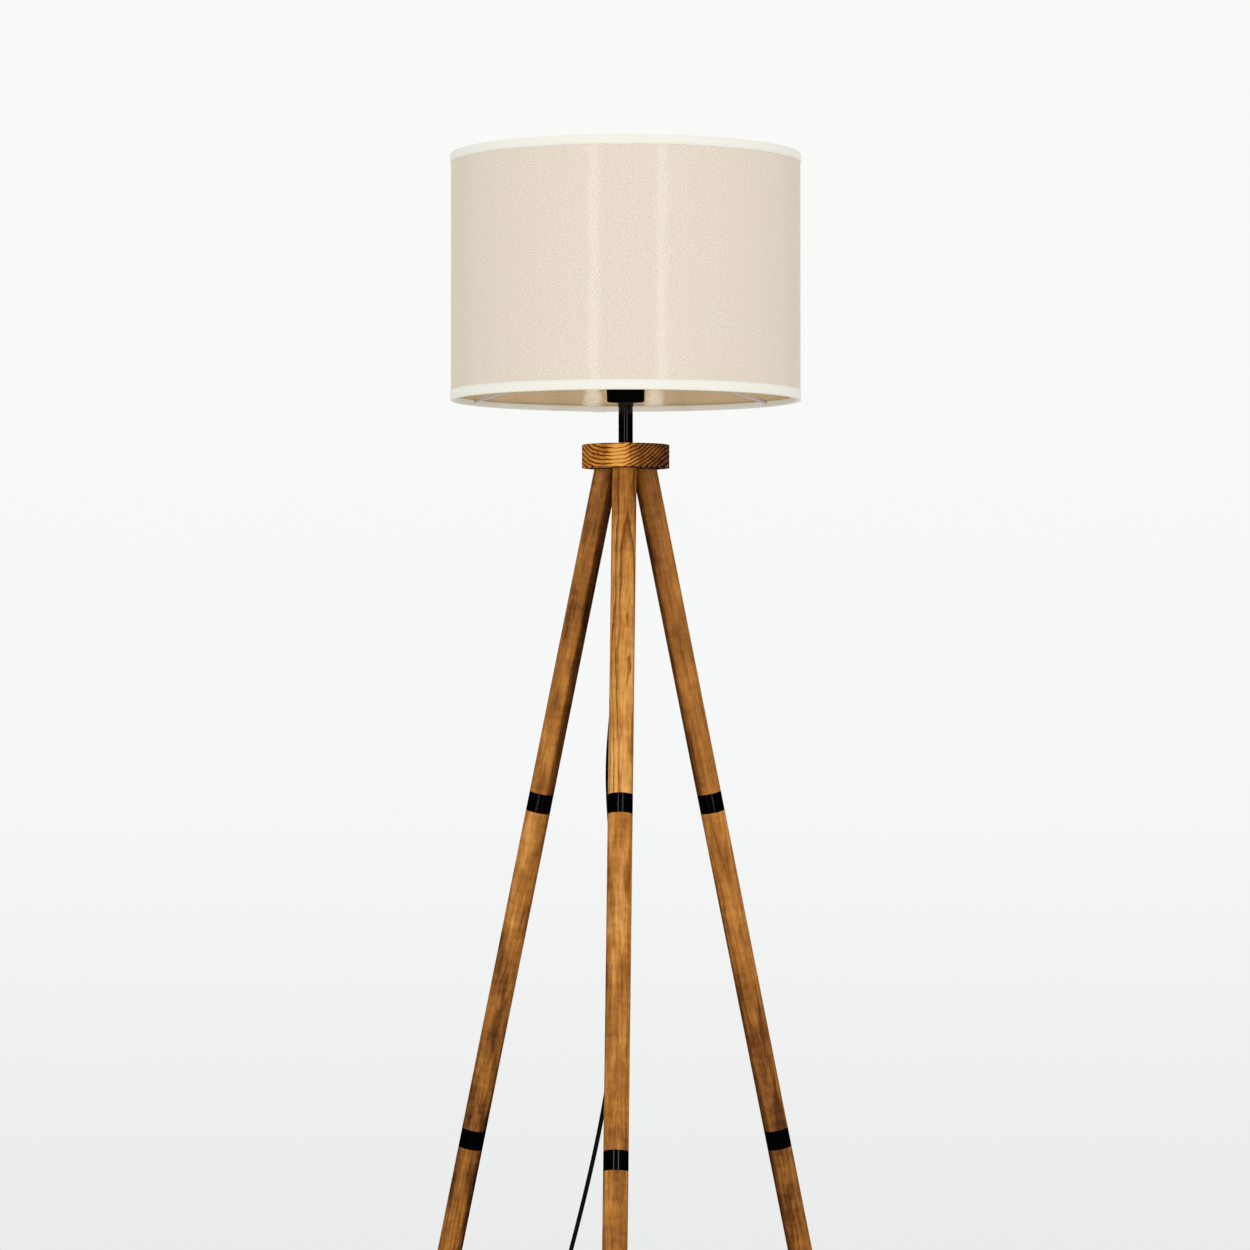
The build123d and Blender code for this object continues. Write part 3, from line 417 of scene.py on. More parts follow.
class Look:
    """A principled material, with short calls that add nodes to it."""

    def __init__(self, name, **sockets):
        self.material = bpy.data.materials.new(name)
        self.material.use_nodes = True
        self.tree = self.material.node_tree
        self.shader = self.tree.nodes["Principled BSDF"]
        self.set(**sockets)

    def put(self, socket, value):
        if isinstance(value, bpy.types.NodeSocket):
            self.tree.links.new(value, socket)
        elif value is not None:
            socket.default_value = value

    def set(self, **sockets):
        """Sets the shader's sockets, named in lower case with underscores."""
        for name, value in sockets.items():
            found = [s for s in self.shader.inputs if s.name.lower().replace(" ", "_") == name]
            self.put(found[0], value)

    def node(self, kind, inputs, output=0, **settings):
        """Adds a node with these inputs and settings, and gives back one of its outputs."""
        made = self.tree.nodes.new("ShaderNode" + kind)
        for name, value in settings.items():
            setattr(made, name, value)
        for key, value in inputs.items():
            self.put(made.inputs[key], value)
        return made.outputs[output]

    def place(self):
        return self.node("TexCoord", {}, "Object")

    def metres(self):
        return self.node("UVMap", {}, uv_map="metres")

    def mapped(self, vector, location=(0, 0, 0), rotation=(0, 0, 0), scale=(1, 1, 1), kind="POINT"):
        inputs = {"Vector": vector, "Location": location, "Rotation": rotation, "Scale": scale}
        return self.node("Mapping", inputs, vector_type=kind)

    def noise(self, vector, scale, detail=3.0, roughness=0.5, distortion=0.0):
        inputs = {"Vector": vector, "Scale": scale, "Detail": detail, "Roughness": roughness,
                  "Distortion": distortion}
        return self.node("TexNoise", inputs)

    def calc(self, operation, a, b=None, c=None, clamp=False):
        """One step of arithmetic."""
        inputs = {k: v for k, v in enumerate((a, b, c)) if v is not None}
        return self.node("Math", inputs, operation=operation, use_clamp=clamp)

    def split(self, vector):
        made = self.node("SeparateXYZ", {"Vector": vector}).node
        return made.outputs[0], made.outputs[1], made.outputs[2]

    def join(self, x, y, z):
        return self.node("CombineXYZ", {0: x, 1: y, 2: z})

    def between(self, value, low, high, to_low=0.0, to_high=1.0, **settings):
        """The value, stretched from one range to another and clamped."""
        inputs = {"Value": value, "From Min": low, "From Max": high,
                  "To Min": to_low, "To Max": to_high}
        return self.node("MapRange", inputs, **settings)

    def ramp(self, value, stops):
        """A colour ramp. Each stop is a place and a colour, or a place and a grey."""
        socket = self.node("ValToRGB", {"Fac": value})
        ramp = socket.node.color_ramp
        while len(ramp.elements) < len(stops):
            ramp.elements.new(0.5)
        for element, (place, shade) in zip(ramp.elements, stops):
            element.position = place
            element.color = shade if isinstance(shade, tuple) else (shade, shade, shade, 1)
        return socket

    def mix(self, share, a, b, blend="MIX"):
        made = self.tree.nodes.new("ShaderNodeMix")
        made.data_type = "RGBA"
        made.blend_type = blend
        for key, value in (("Factor_Float", share), ("A_Color", a), ("B_Color", b)):
            self.put(next(s for s in made.inputs if s.identifier == key), value)
        return next(s for s in made.outputs if s.identifier == "Result_Color")

    def bump(self, height, distance, strength=1.0, under=None):
        """A bumped normal, on top of another one where under is given."""
        inputs = {"Height": height, "Distance": distance, "Strength": strength}
        if under is not None:
            inputs["Normal"] = under
        return self.node("Bump", inputs)


LEG_LEAN = math.radians(13.1)
LEG_RADIUS_AT_HUB = 0.0248
LEG_R = 0.014
LEG_AZIMUTHS = {"front": -93.4, "right": 30.0, "left": 150.0}
WOOD_TONES = [
    (0.0, colour(34, 15, 3)),
    (0.3, colour(102, 57, 14)),
    (0.62, colour(170, 109, 38)),
    (1.0, colour(224, 165, 88)),
]
HUB_TONES = [
    (0.0, colour(22, 8, 0)),
    (0.3, colour(96, 48, 4)),
    (0.62, colour(170, 100, 20)),
    (1.0, colour(230, 162, 66)),
]
# Each wood: the pith as (x, y, x per metre, y per metre) in the leg's own frame, the rings' spacing,
# how much they waver, how dark they are, the tone at the section's top and bottom, and how strong its
# blotches are. painted_shade_side is painted shade along the leg's less lit flank: its azimuth, the
# sine of where it starts, and how dark it is.
SECTION_WOOD = {
    "leg_front_upper": dict(pith=(0.010, 0.034, 0.016, -0.030), spacing=0.0090, warp=0.036, rings=0.46,
                            tones=(0.68, 0.94), blotch=0.36, painted_shade_side=(0, 0.86, 0.15)),
    "leg_front_middle": dict(pith=(-0.040, 0.020, 0.020, 0.010), spacing=0.0062, warp=0.022, rings=0.13,
                             tones=(0.69, 0.63), blotch=0.42, painted_shade_side=(180, 0.86, 0.15)),
    "leg_front_lower": dict(pith=(0.030, 0.030, -0.010, 0.020), spacing=0.0056, warp=0.018, rings=0.15,
                            tones=(0.62, 0.56), blotch=0.40, painted_shade_side=(180, 0.86, 0.15)),
    "leg_right_upper": dict(pith=(-0.028, -0.040, 0.012, 0.010), spacing=0.0040, warp=0.008, rings=0.08,
                            tones=(0.50, 0.60), blotch=0.30, painted_shade_side=(180, 0.62, 0.30)),
    "leg_right_middle": dict(pith=(0.050, 0.010, -0.030, 0.012), spacing=0.0040, warp=0.010, rings=0.20,
                             tones=(0.76, 0.38), blotch=0.36, painted_shade_side=(180, 0.75, 0.20)),
    "leg_right_lower": dict(pith=(0.020, -0.050, 0.010, 0.020), spacing=0.0052, warp=0.014, rings=0.14,
                            tones=(0.46, 0.44), blotch=0.38, painted_shade_side=(180, 0.70, 0.25)),
    "leg_left_upper": dict(pith=(0.036, -0.032, 0.010, 0.016), spacing=0.0038, warp=0.009, rings=0.08,
                           tones=(0.49, 0.57), blotch=0.36, painted_shade_side=(0, 0.36, 0.36)),
    "leg_left_middle": dict(pith=(-0.030, -0.042, 0.020, 0.014), spacing=0.0060, warp=0.020, rings=0.11,
                            tones=(0.72, 0.38), blotch=0.44, painted_shade_side=(0, 0.75, 0.20)),
    "leg_left_lower": dict(pith=(0.044, 0.016, -0.020, 0.010), spacing=0.0050, warp=0.015, rings=0.13,
                           tones=(0.42, 0.42), blotch=0.40, painted_shade_side=(0, 0.70, 0.25)),
}
# Where each section starts and ends, down along the leg.
SECTION_SPANS = {"upper": (0.0, 0.393), "middle": (0.393, 0.794), "lower": (0.794, 1.195)}


def add_share(look, value, low, high, strength, onto):
    """onto plus a value spread over minus to plus half the strength."""
    return look.calc("MULTIPLY_ADD", look.between(value, low, high, -0.5, 0.5), strength, onto)


def ring_lines(look, local, slow, knotty, pith, spacing, warp):
    """The dark late wood of the rings around the pith, 0 to 1."""
    x, y, z = look.split(local)
    off_x = look.calc("SUBTRACT", look.calc("SUBTRACT", x, pith[0]), look.calc("MULTIPLY", z, pith[2]))
    off_y = look.calc("SUBTRACT", look.calc("SUBTRACT", y, pith[1]), look.calc("MULTIPLY", z, pith[3]))
    reach = look.node("VectorMath", {0: look.join(off_x, off_y, 0.0)}, "Value", operation="LENGTH")
    reach = look.calc("MULTIPLY_ADD", slow, warp, reach)
    reach = look.calc("MULTIPLY_ADD", knotty, warp * 0.22, reach)
    ring = look.calc("FRACT", look.calc("DIVIDE", reach, spacing))
    return look.ramp(ring, [(0.0, 0.1), (0.3, 0.0), (0.6, 0.25), (0.78, 1.0), (0.93, 1.0), (1.0, 0.1)])


def leg_look(name, local, span, flank, seed, pith, spacing, warp, rings, tones, blotch, painted_shade_side):
    """Stained softwood dowel. local is a position whose Z runs along the grain; flank is how far the
    point lies towards the flank with painted shade, in leg radii."""
    look = Look(name, specular_ior_level=0.17, coat_weight=0.04, coat_roughness=0.25)
    place = local(look)
    tone = look.between(look.split(place)[2], *span, *tones)
    moved = look.mapped(place, location=(seed * 0.37, seed * 0.11, seed * 0.73))
    slow = look.noise(look.mapped(moved, scale=(26, 26, 6)), 1.0, 3.0, 0.55)
    knotty = look.noise(look.mapped(moved, scale=(90, 90, 16)), 1.0, 2.0, 0.5)
    fibre = look.noise(look.mapped(moved, scale=(1400, 1400, 70)), 1.0, 4.0, 0.65)
    streaks = look.noise(look.mapped(moved, scale=(300, 300, 12)), 1.0, 3.0, 0.6)
    stain = look.noise(look.mapped(moved, scale=(60, 60, 15)), 1.0, 4.0, 0.55, distortion=0.3)
    specks = look.noise(look.mapped(moved, scale=(900, 900, 220)), 1.0, 2.0, 0.6)
    late = ring_lines(look, place, slow, knotty, pith, spacing, warp)
    depth = look.calc("MULTIPLY", late, look.between(stain, 0.3, 0.65, 0.4, 1.0))
    # Painted shade: one flank of the leg is darkened, with a ragged edge.
    _, edge, strength = painted_shade_side
    ragged = look.calc("MULTIPLY_ADD", streaks, 0.5, flank(look))
    dark = look.between(ragged, edge + 0.15, edge + 0.45)
    shade = add_share(look, streaks, 0.32, 0.7, 0.06 + 0.3 * rings, tone)
    shade = add_share(look, stain, 0.33, 0.68, blotch, shade)
    curl = look.noise(look.mapped(moved, scale=(45, 45, 150)), 1.0, 2.0, 0.5)
    shade = add_share(look, curl, 0.3, 0.7, blotch * 0.25, shade)
    shade = add_share(look, fibre, 0.3, 0.7, 0.22, shade)
    shade = look.calc("MULTIPLY_ADD", look.between(specks, 0.62, 0.74), -0.16, shade)
    shade = look.calc("MULTIPLY_ADD", dark, -strength, shade)
    shade = look.calc("MULTIPLY_ADD", depth, -rings, shade, clamp=True)
    look.set(base_color=look.ramp(shade, WOOD_TONES))
    look.set(roughness=look.between(fibre, 0.3, 0.7, 0.34, 0.48))
    look.set(normal=look.bump(look.calc("MULTIPLY_ADD", late, -0.5, fibre), 0.1 * MM, 0.45))
    return look.material


def leg_axes(azimuth):
    """The directions of a leg's own axes: Z runs down the leg."""
    turn = math.radians(azimuth)
    outwards = math.sin(LEG_LEAN)
    down = Vector((math.cos(turn) * outwards, math.sin(turn) * outwards, -math.cos(LEG_LEAN)))
    across = Vector((-math.sin(turn), math.cos(turn), 0))
    return across, down.cross(across), down


def leg_wood(node):
    """The wood of one leg section."""
    wood = SECTION_WOOD[node]
    azimuth = LEG_AZIMUTHS[node.split("_")[1]]
    turn = math.radians(azimuth)
    axes = leg_axes(azimuth)
    origin = (LEG_RADIUS_AT_HUB * math.cos(turn), LEG_RADIUS_AT_HUB * math.sin(turn), HUB_Z)
    side = math.radians(wood["painted_shade_side"][0])
    towards = [axis.x * math.cos(side) + axis.y * math.sin(side) for axis in axes]

    def local(look):
        return look.mapped(look.place(), origin, Matrix(axes).transposed().to_euler(), kind="TEXTURE")

    def flank(look):
        weights = (towards[0] / LEG_R, towards[1] / LEG_R, 0)
        return look.node("VectorMath", {0: local(look), 1: weights}, "Value", operation="DOT_PRODUCT")

    span = SECTION_SPANS[node.split("_")[2]]
    return leg_look(f"{node}_wood", local, span, flank, sorted(SECTION_WOOD).index(node) + 1, **wood)


# The hub's wood. Middles and spans are metres to the right of the hub's axis.
BOWL_MIDDLE = -0.004
BOWL_LEFT_RISE = (35.8, 2.2)  # factor and power
BOWL_RIGHT_SLOPE = 0.84
HUB_PITH = (0, 0.048, 0.04, 0.06)
HUB_SPACING = 0.0044
HUB_WARP = 0.008
# A painted highlight on the hub: a lighter band left of the middle, where the left soft box reflects.
PAINTED_HIGHLIGHT_MIDDLE = -0.009
PAINTED_HIGHLIGHT_HALF_WIDTHS = (0.004, 0.014)  # of the even part, and of all of it
SQUEEZE_SPAN = (-0.002, 0.05)
SHADY_SPAN = (-0.004, 0.042)
DULL_SPAN = (-0.006, 0.006)
UNDERSIDE = (-0.8, -0.6)  # Z of the normal, from fully to not at all underneath


def hub_wood():
    """The grain runs front to back, so in front the rim shows the rings on end, as nested bowls."""
    look = Look("hub_wood", specular_ior_level=0.22)
    centre = (0, 0, (HUB_LOW.z + HUB_HIGH.z) / 2)
    place = look.mapped(look.place(), centre, (math.pi / 2, 0, 0), kind="TEXTURE")
    x, y, z = look.split(place)
    slow = look.noise(look.mapped(place, scale=(40, 40, 9)), 1.0, 3.0, 0.55)
    knotty = look.noise(look.mapped(place, scale=(260, 260, 25)), 1.0, 3.0, 0.6)
    fibre = look.noise(look.mapped(place, scale=(700, 1100, 60)), 1.0, 4.0, 0.65)
    stain = look.noise(look.mapped(place, location=(0.4, 0.2, 0.1), scale=(55, 55, 20)), 1.0, 4.0, 0.6)
    off = look.calc("SUBTRACT", x, BOWL_MIDDLE)
    left_factor, left_power = BOWL_LEFT_RISE
    leftwards = look.calc("MAXIMUM", look.calc("MULTIPLY", off, -1.0), 0.0)
    left_rise = look.calc("POWER", leftwards, left_power)
    right_rise = look.calc("MULTIPLY", look.calc("MAXIMUM", off, 0.0), BOWL_RIGHT_SLOPE)
    bowl = look.calc("MULTIPLY_ADD", left_rise, left_factor, right_rise)
    squeezed = look.calc("ADD", slow, look.between(x, *SQUEEZE_SPAN, 0.0, 2.6))
    bowls = look.join(bowl, y, z)
    late = ring_lines(look, bowls, squeezed, knotty, HUB_PITH, HUB_SPACING, HUB_WARP)
    depth = look.calc("MULTIPLY", late, look.between(stain, 0.3, 0.65, 0.6, 1.0))
    shady = look.between(x, *SHADY_SPAN, interpolation_type="SMOOTHSTEP")
    # Painted highlight: the wood's tone is raised in a band left of the middle.
    from_painted_highlight = look.calc("ABSOLUTE", look.calc("SUBTRACT", x, PAINTED_HIGHLIGHT_MIDDLE))
    painted_highlight = look.between(from_painted_highlight, *PAINTED_HIGHLIGHT_HALF_WIDTHS, 0.46, 0.0)
    shade = add_share(look, stain, 0.33, 0.68, 0.36, 0.80)
    shade = add_share(look, fibre, 0.3, 0.7, 0.40, shade)
    facing = look.split(look.node("NewGeometry", {}, "Normal"))[2]
    under = look.between(facing, *UNDERSIDE, 1.0, 0.0)
    # Painted shade: the wood's tone is darker where it faces down.
    shade = look.calc("MULTIPLY_ADD", under, -0.12, look.calc("ADD", shade, painted_highlight))
    shade = look.calc("MULTIPLY_ADD", shady, -0.45, shade)
    shade = look.calc("MULTIPLY_ADD", depth, -0.84, shade, clamp=True)
    look.set(base_color=look.ramp(shade, HUB_TONES))
    dull = look.calc("MAXIMUM", under, look.between(x, *DULL_SPAN, 0.0, 0.35))
    look.set(roughness=look.calc("ADD", dull, look.between(fibre, 0.3, 0.7, 0.26, 0.36)))
    look.set(normal=look.bump(look.calc("MULTIPLY_ADD", late, -0.5, fibre), 0.1 * MM, 0.4))
    return look.material


def black_look(name, roughness, grain, depth, base, level=0.3):
    """Black paint, rubber or plastic, slightly bluish, paler and duller where it is worn."""
    look = Look(name, specular_ior_level=level)
    place = look.place()
    fine = look.noise(place, grain, 2.0, 0.6)
    wear = look.noise(place, 35.0, 3.0, 0.55)
    look.set(roughness=look.between(wear, 0.3, 0.7, roughness * 0.8, roughness * 1.25))
    fresh = (base, base, base * 1.08, 1)
    worn = (base * 1.8, base * 1.8, base * 1.9, 1)
    tint = look.ramp(wear, [(0.3, fresh), (0.75, worn)])
    look.set(base_color=tint, normal=look.bump(fine, depth, 0.35))
    return look.material


def metal_look(name, tint, roughness, grain=(60, 60, 700)):
    """Plated or rolled metal with fine brushing and a few dull spots."""
    look = Look(name, metallic=0.75)
    place = look.place()
    brushed = look.noise(look.mapped(place, scale=grain), 1.0, 3.0, 0.6)
    spots = look.noise(place, 220.0, 3.0, 0.6)
    dull = tuple(x * 0.72 for x in tint[:3]) + (1,)
    look.set(base_color=look.mix(look.between(spots, 0.42, 0.75), tint, dull))
    look.set(roughness=look.between(spots, 0.3, 0.7, roughness - 0.06, roughness + 0.1))
    look.set(normal=look.bump(brushed, 0.02 * MM, 0.4))
    return look.material


def pale_look(name, tint, roughness, **sockets):
    """Pale glass, ceramic, plastic or coated wire, slightly cloudy."""
    look = Look(name, **sockets)
    place = look.place()
    cloud = look.noise(place, 40.0, 3.0, 0.5)
    speck = look.noise(place, 1800.0, 2.0, 0.5)
    dim = tuple(x * 0.93 for x in tint[:3]) + (1,)
    look.set(base_color=look.mix(look.between(cloud, 0.35, 0.7), tint, dim))
    look.set(roughness=look.between(cloud, 0.3, 0.7, roughness - 0.04, roughness + 0.05))
    look.set(normal=look.bump(speck, 0.02 * MM, 0.3))
    return look.material


BRAID_SPACING = 3 * MM  # between two yarns, along the cord
BRAID_YARNS = 6  # in each direction
CLOTH_WARP = 0.55 * MM
CLOTH_WEFT = 0.45 * MM
TAPE_TWILL = 0.8 * MM


def waves(look, value, period):
    """A sine along a distance."""
    return look.calc("SINE", look.calc("MULTIPLY", value, 2 * math.pi / period))


def braid_look():
    """Black textile braid: two families of yarns that wind round the cord and cross."""
    look = Look("cord_braid", specular_ior_level=0.08, sheen_weight=0.02, sheen_roughness=0.5)
    along, around, _ = look.split(look.metres())
    lift = look.calc("MULTIPLY", along, 2 * math.pi / BRAID_SPACING)
    spin = look.calc("MULTIPLY", around, 2 * BRAID_YARNS / CORD_DIAMETER)
    one = look.calc("SINE", look.calc("ADD", spin, lift))
    two = look.calc("SINE", look.calc("SUBTRACT", spin, lift))
    weave = look.calc("MAXIMUM", one, two)
    thread = look.noise(look.place(), 2600.0, 2.0, 0.6)
    raised = look.between(weave, -0.4, 1.0)
    tint = look.ramp(raised, [(0.0, colour(2, 2, 2)), (1.0, colour(13, 13, 15))])
    look.set(base_color=tint)
    look.set(roughness=look.between(thread, 0.3, 0.7, 0.62, 0.8))
    height = look.calc("MULTIPLY_ADD", thread, 0.3, weave)
    look.set(normal=look.bump(height, 0.05 * MM, 0.6))
    return look.material


def skin_look():
    """The shade's fabric face: a matt weave with flecks, under a clear film that sparkles."""
    look = Look("shade_fabric", specular_ior_level=0.1, coat_weight=0.45, coat_roughness=0.06,
                sheen_weight=0.9, sheen_roughness=0.4, sheen_tint=(1.0, 0.91, 0.74, 1))
    metres = look.metres()
    grain = look.noise(look.mapped(metres, scale=(420, 700, 1)), 1.0, 3.0, 0.6)
    flecks = look.noise(look.mapped(metres, scale=(230, 800, 1)), 1.0, 2.0, 0.5)
    cloud = look.noise(look.mapped(metres, scale=(30, 22, 1)), 1.0, 3.0, 0.5)
    u, v, _ = look.split(metres)
    weave = look.calc("MULTIPLY", waves(look, u, CLOTH_WARP), waves(look, v, CLOTH_WEFT))
    tint = look.ramp(grain, [(0.3, colour(203, 191, 174)), (0.7, colour(231, 221, 208))])
    tint = look.mix(look.between(flecks, 0.56, 0.7, 0.0, 0.45), tint, colour(199, 183, 163))
    tint = look.mix(look.between(cloud, 0.35, 0.7, 0.0, 0.3), tint, colour(217, 204, 189))
    look.set(base_color=tint)
    look.set(roughness=look.between(grain, 0.3, 0.7, 0.4, 0.55))
    height = look.calc("MULTIPLY_ADD", weave, 0.12, grain)
    look.set(normal=look.bump(height, 0.18 * MM, 0.3))
    sparkle = look.noise(look.mapped(metres, scale=(520, 650, 1)), 1.0, 1.0, 0.5)
    look.set(coat_normal=look.bump(sparkle, 0.11 * MM))
    return look.material


def lining_look():
    """The laminate's inner face: smooth film over the fabric's tan back, ribbed by the weft."""
    look = Look("shade_lining", specular_ior_level=0.35, coat_weight=1.0, coat_ior=1.95,
                coat_roughness=0.03)
    metres = look.metres()
    grain = look.noise(look.mapped(metres, scale=(420, 500, 1)), 1.0, 3.0, 0.6)
    cloud = look.noise(look.mapped(metres, scale=(45, 30, 1)), 1.0, 3.0, 0.5)
    _, v, _ = look.split(metres)
    tint = look.ramp(grain, [(0.3, colour(210, 183, 143)), (0.7, colour(234, 212, 175))])
    tint = look.mix(look.between(cloud, 0.4, 0.7, 0.0, 0.4), tint, colour(208, 182, 142))
    look.set(base_color=tint, roughness=look.between(grain, 0.3, 0.7, 0.05, 0.09))
    ribs = look.bump(waves(look, v, CLOTH_WEFT), 0.008 * MM)
    look.set(coat_normal=ribs)
    look.set(normal=look.bump(grain, 0.05 * MM, 0.3, under=ribs))
    return look.material


def tape_look():
    """The cream tape's fine diagonal weave."""
    look = Look("shade_tape", specular_ior_level=0.3, sheen_weight=0.2, sheen_roughness=0.5)
    metres = look.metres()
    u, v, _ = look.split(metres)
    one = waves(look, look.calc("ADD", u, v), TAPE_TWILL)
    two = waves(look, look.calc("SUBTRACT", u, v), TAPE_TWILL)
    weave = look.calc("MULTIPLY", one, two)
    fuzz = look.noise(look.mapped(metres, scale=(900, 900, 1)), 1.0, 2.0, 0.6)
    tint = look.ramp(fuzz, [(0.3, colour(224, 223, 211)), (0.7, colour(237, 236, 226))])
    look.set(base_color=tint, roughness=look.between(fuzz, 0.3, 0.7, 0.7, 0.85))
    look.set(normal=look.bump(look.calc("MULTIPLY_ADD", fuzz, 0.6, weave), 0.08 * MM, 0.4))
    return look.material


def slot_looks():
    """One material for each of the record's slots, except the legs' wood, which differs by section."""
    opal = pale_look("bulb_opal", (0.86, 0.86, 0.84, 1), 0.28, subsurface_weight=0.25,
                     subsurface_radius=(0.01, 0.01, 0.01), subsurface_scale=0.4)
    return {
        "hub_wood": hub_wood(),
        "black_metal": black_look("black_enamel", 0.15, 700.0, 0.004 * MM, base=0.0005, level=0.36),
        "zinc_steel": metal_look("zinc_steel", (0.6, 0.61, 0.63, 1), 0.34),
        "brass": metal_look("brass", (0.75, 0.55, 0.27, 1), 0.3),
        "black_rubber": black_look("black_rubber", 0.72, 1600.0, 0.06 * MM, base=0.008),
        "holder_plastic": black_look("holder_plastic", 0.6, 1200.0, 0.03 * MM, base=0.0004, level=0.04),
        "ceramic": pale_look("ceramic", (0.8, 0.78, 0.72, 1), 0.62),
        "bulb_cap_metal": metal_look("bulb_cap_metal", (0.78, 0.78, 0.77, 1), 0.28),
        "bulb_white": pale_look("bulb_white", (0.82, 0.82, 0.81, 1), 0.42),
        "bulb_opal": opal,
        "frame_wire": pale_look("frame_wire", (0.6, 0.58, 0.62, 1), 0.38),
        "cord_sheath": braid_look(),
        "black_plastic": black_look("black_plastic", 0.42, 2400.0, 0.05 * MM, base=0.007, level=0.4),
        "plug_nickel": metal_look("plug_nickel", (0.74, 0.73, 0.69, 1), 0.2, (500, 500, 500)),
        "shade_laminate": skin_look(),
        "shade_tape": tape_look(),
    }


def dress(piece, look):
    piece.data.materials.clear()
    piece.data.materials.append(look)


def dress_all(skin, tapes, cords, spring):
    """Gives every CAD node and every new piece its material."""
    looks = slot_looks()
    for part in frame["record"]["subparts"]:
        node = frame["nodes"][part["node"]]
        slot = part["material_slot"]
        dress(node, leg_wood(part["node"]) if slot == "leg_wood" else looks[slot])
    for tape in tapes:
        dress(tape, looks["shade_tape"])
    for cord in cords:
        dress(cord, looks["cord_sheath"])
    dress(spring, looks["zinc_steel"])
    dress(skin, looks["shade_laminate"])
    skin.data.materials.append(lining_look())
    for face in skin.data.polygons:
        middle = face.center
        faces_in = middle.x * face.normal.x + middle.y * face.normal.y < -0.5 * SHADE_R
        face.material_index = 1 if faces_in else 0


# ------------------------------------------------------------------ floor, world and lights
FLOOR_R = 2.3
FLOOR_SIDES = 96
FLOOR_FADE = (0.9, 2.208)  # radii between which it fades out
SEEN_TONES = [
    (0.0, (0.80, 0.81, 0.80, 1)),
    (0.5, (0.925, 0.945, 0.945, 1)),
    (1.0, (0.955, 0.955, 0.94, 1)),
]
SEEN_SPAN = (-0.13, 0.13)  # heights of the view direction between the first and the last tone
LIGHT_COLOUR = (1.0, 0.99, 0.98, 1)
LIGHT_STRENGTH = 0.97
KEY_TURNS = {"left": math.radians(-20.7), "right": math.radians(22.6)}
KEY_DISTANCE = 5.3
KEY_WIDTH = 0.42
KEY_SPANS = {"low": (0.1, 1.1), "high": (1.1, 3.3)}  # heights of the two halves of each soft box
KEY_POWERS = {"low": 20, "high": 15}
CEILING_HEIGHT = 3.6
CEILING_SIZE = (4.0, 4.0)
CEILING_POWER = 12


def make_floor():
    """A pale disc that fades out at its rim."""
    mesh = bpy.data.meshes.new("floor")
    rim = [at(2 * math.pi * i / FLOOR_SIDES, FLOOR_R, 0) for i in range(FLOOR_SIDES)]
    mesh.from_pydata(rim, [], [tuple(range(FLOOR_SIDES))])
    floor = link("floor", mesh)
    look = Look("floor_paint", roughness=0.8, specular_ior_level=0.2)
    place = look.place()
    cloud = look.noise(place, 6.0, 4.0, 0.55)
    tint = look.ramp(cloud, [(0.3, (0.80, 0.80, 0.795, 1)), (0.7, (0.84, 0.84, 0.835, 1))])
    far = look.node("VectorMath", {0: place}, "Value", operation="LENGTH")
    look.set(base_color=tint, alpha=look.between(far, *FLOOR_FADE, 1.0, 0.0))
    floor.data.materials.append(look.material)
    floor.visible_glossy = False


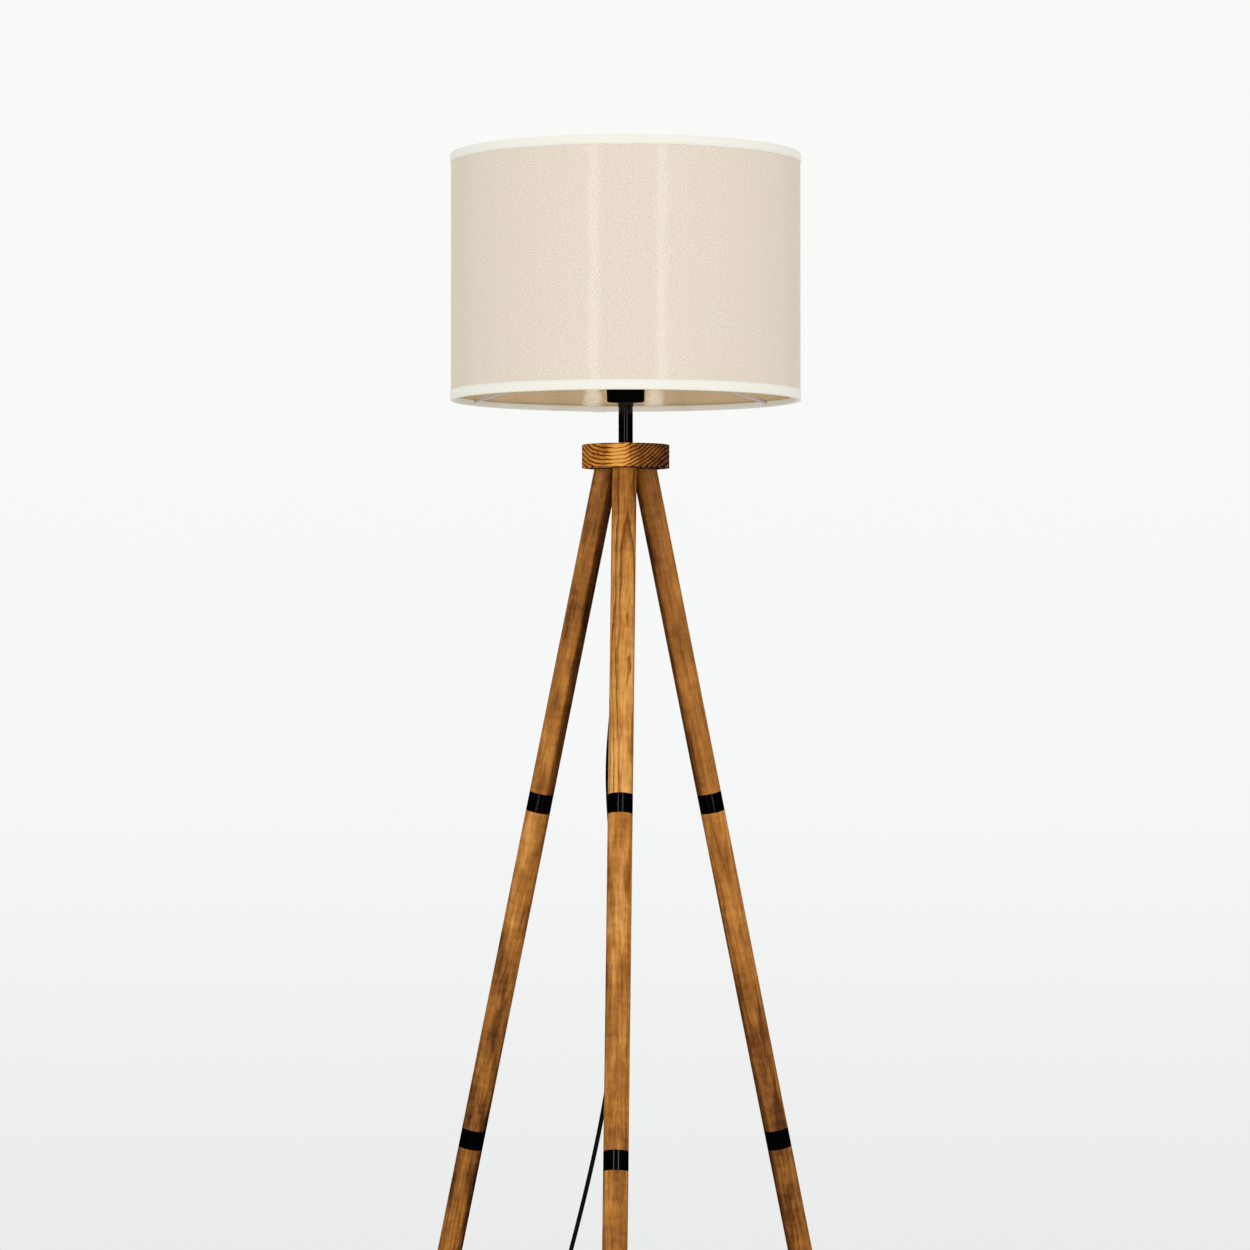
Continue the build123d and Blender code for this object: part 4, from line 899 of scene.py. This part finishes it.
def make_world():
    """Near white behind the lamp and an even light on it, which glossy surfaces don't mirror."""
    world = bpy.data.worlds.new("studio")
    world.use_nodes = True
    bpy.context.scene.world = world
    world.cycles_visibility.glossy = False
    tree = world.node_tree
    tree.nodes.clear()
    seen = tree.nodes.new("ShaderNodeBackground")
    place = tree.nodes.new("ShaderNodeTexCoord")
    split = tree.nodes.new("ShaderNodeSeparateXYZ")
    rise = tree.nodes.new("ShaderNodeMapRange")
    rise.inputs["From Min"].default_value, rise.inputs["From Max"].default_value = SEEN_SPAN
    tones = tree.nodes.new("ShaderNodeValToRGB")
    tones.color_ramp.elements.new(0.5)
    for element, (share, tone) in zip(tones.color_ramp.elements, SEEN_TONES):
        element.position = share
        element.color = tone
    tree.links.new(place.outputs["Generated"], split.inputs[0])
    tree.links.new(split.outputs[2], rise.inputs["Value"])
    tree.links.new(rise.outputs["Result"], tones.inputs["Fac"])
    tree.links.new(tones.outputs["Color"], seen.inputs["Color"])
    light = tree.nodes.new("ShaderNodeBackground")
    light.inputs["Color"].default_value = LIGHT_COLOUR
    light.inputs["Strength"].default_value = LIGHT_STRENGTH
    path = tree.nodes.new("ShaderNodeLightPath")
    mix = tree.nodes.new("ShaderNodeMixShader")
    out = tree.nodes.new("ShaderNodeOutputWorld")
    tree.links.new(path.outputs["Is Camera Ray"], mix.inputs[0])
    tree.links.new(light.outputs[0], mix.inputs[1])
    tree.links.new(seen.outputs[0], mix.inputs[2])
    tree.links.new(mix.outputs[0], out.inputs[0])


def add_light(name, size, power, place, target):
    """A rectangular light that the camera doesn't see. size is (width, height)."""
    data = bpy.data.lights.new(name, "AREA")
    data.shape = "RECTANGLE"
    data.size, data.size_y = size
    data.energy = power
    lamp = bpy.data.objects.new(name, data)
    bpy.context.scene.collection.objects.link(lamp)
    lamp.location = place
    lamp.rotation_euler = (Vector(target) - Vector(place)).to_track_quat("-Z", "Y").to_euler()
    lamp.visible_camera = False
    return lamp


def make_lights():
    """Two tall soft boxes beside the camera, and a ceiling that only shows in reflections."""
    for side, turn in KEY_TURNS.items():
        for half, (low, high) in KEY_SPANS.items():
            middle = (low + high) / 2
            place = at(turn - math.pi / 2, KEY_DISTANCE, middle)
            size = (KEY_WIDTH, high - low)
            add_light(f"soft_box_{side}_{half}", size, KEY_POWERS[half], place, (0, 0, middle))
    ceiling = add_light("ceiling", CEILING_SIZE, CEILING_POWER, (0, 0, CEILING_HEIGHT), (0, 0, 0))
    ceiling.visible_diffuse = False


# ------------------------------------------------------------------ scene
make_camera()
spring_piece = switch_spring()
leads = make_cords()
skin_piece = shade_skin()
tape_pieces = [shade_tape("top"), shade_tape("bottom")]
dress_all(skin_piece, tape_pieces, leads, spring_piece)
make_floor()
make_world()
make_lights()
bpy.context.scene.view_settings.view_transform = "Standard"
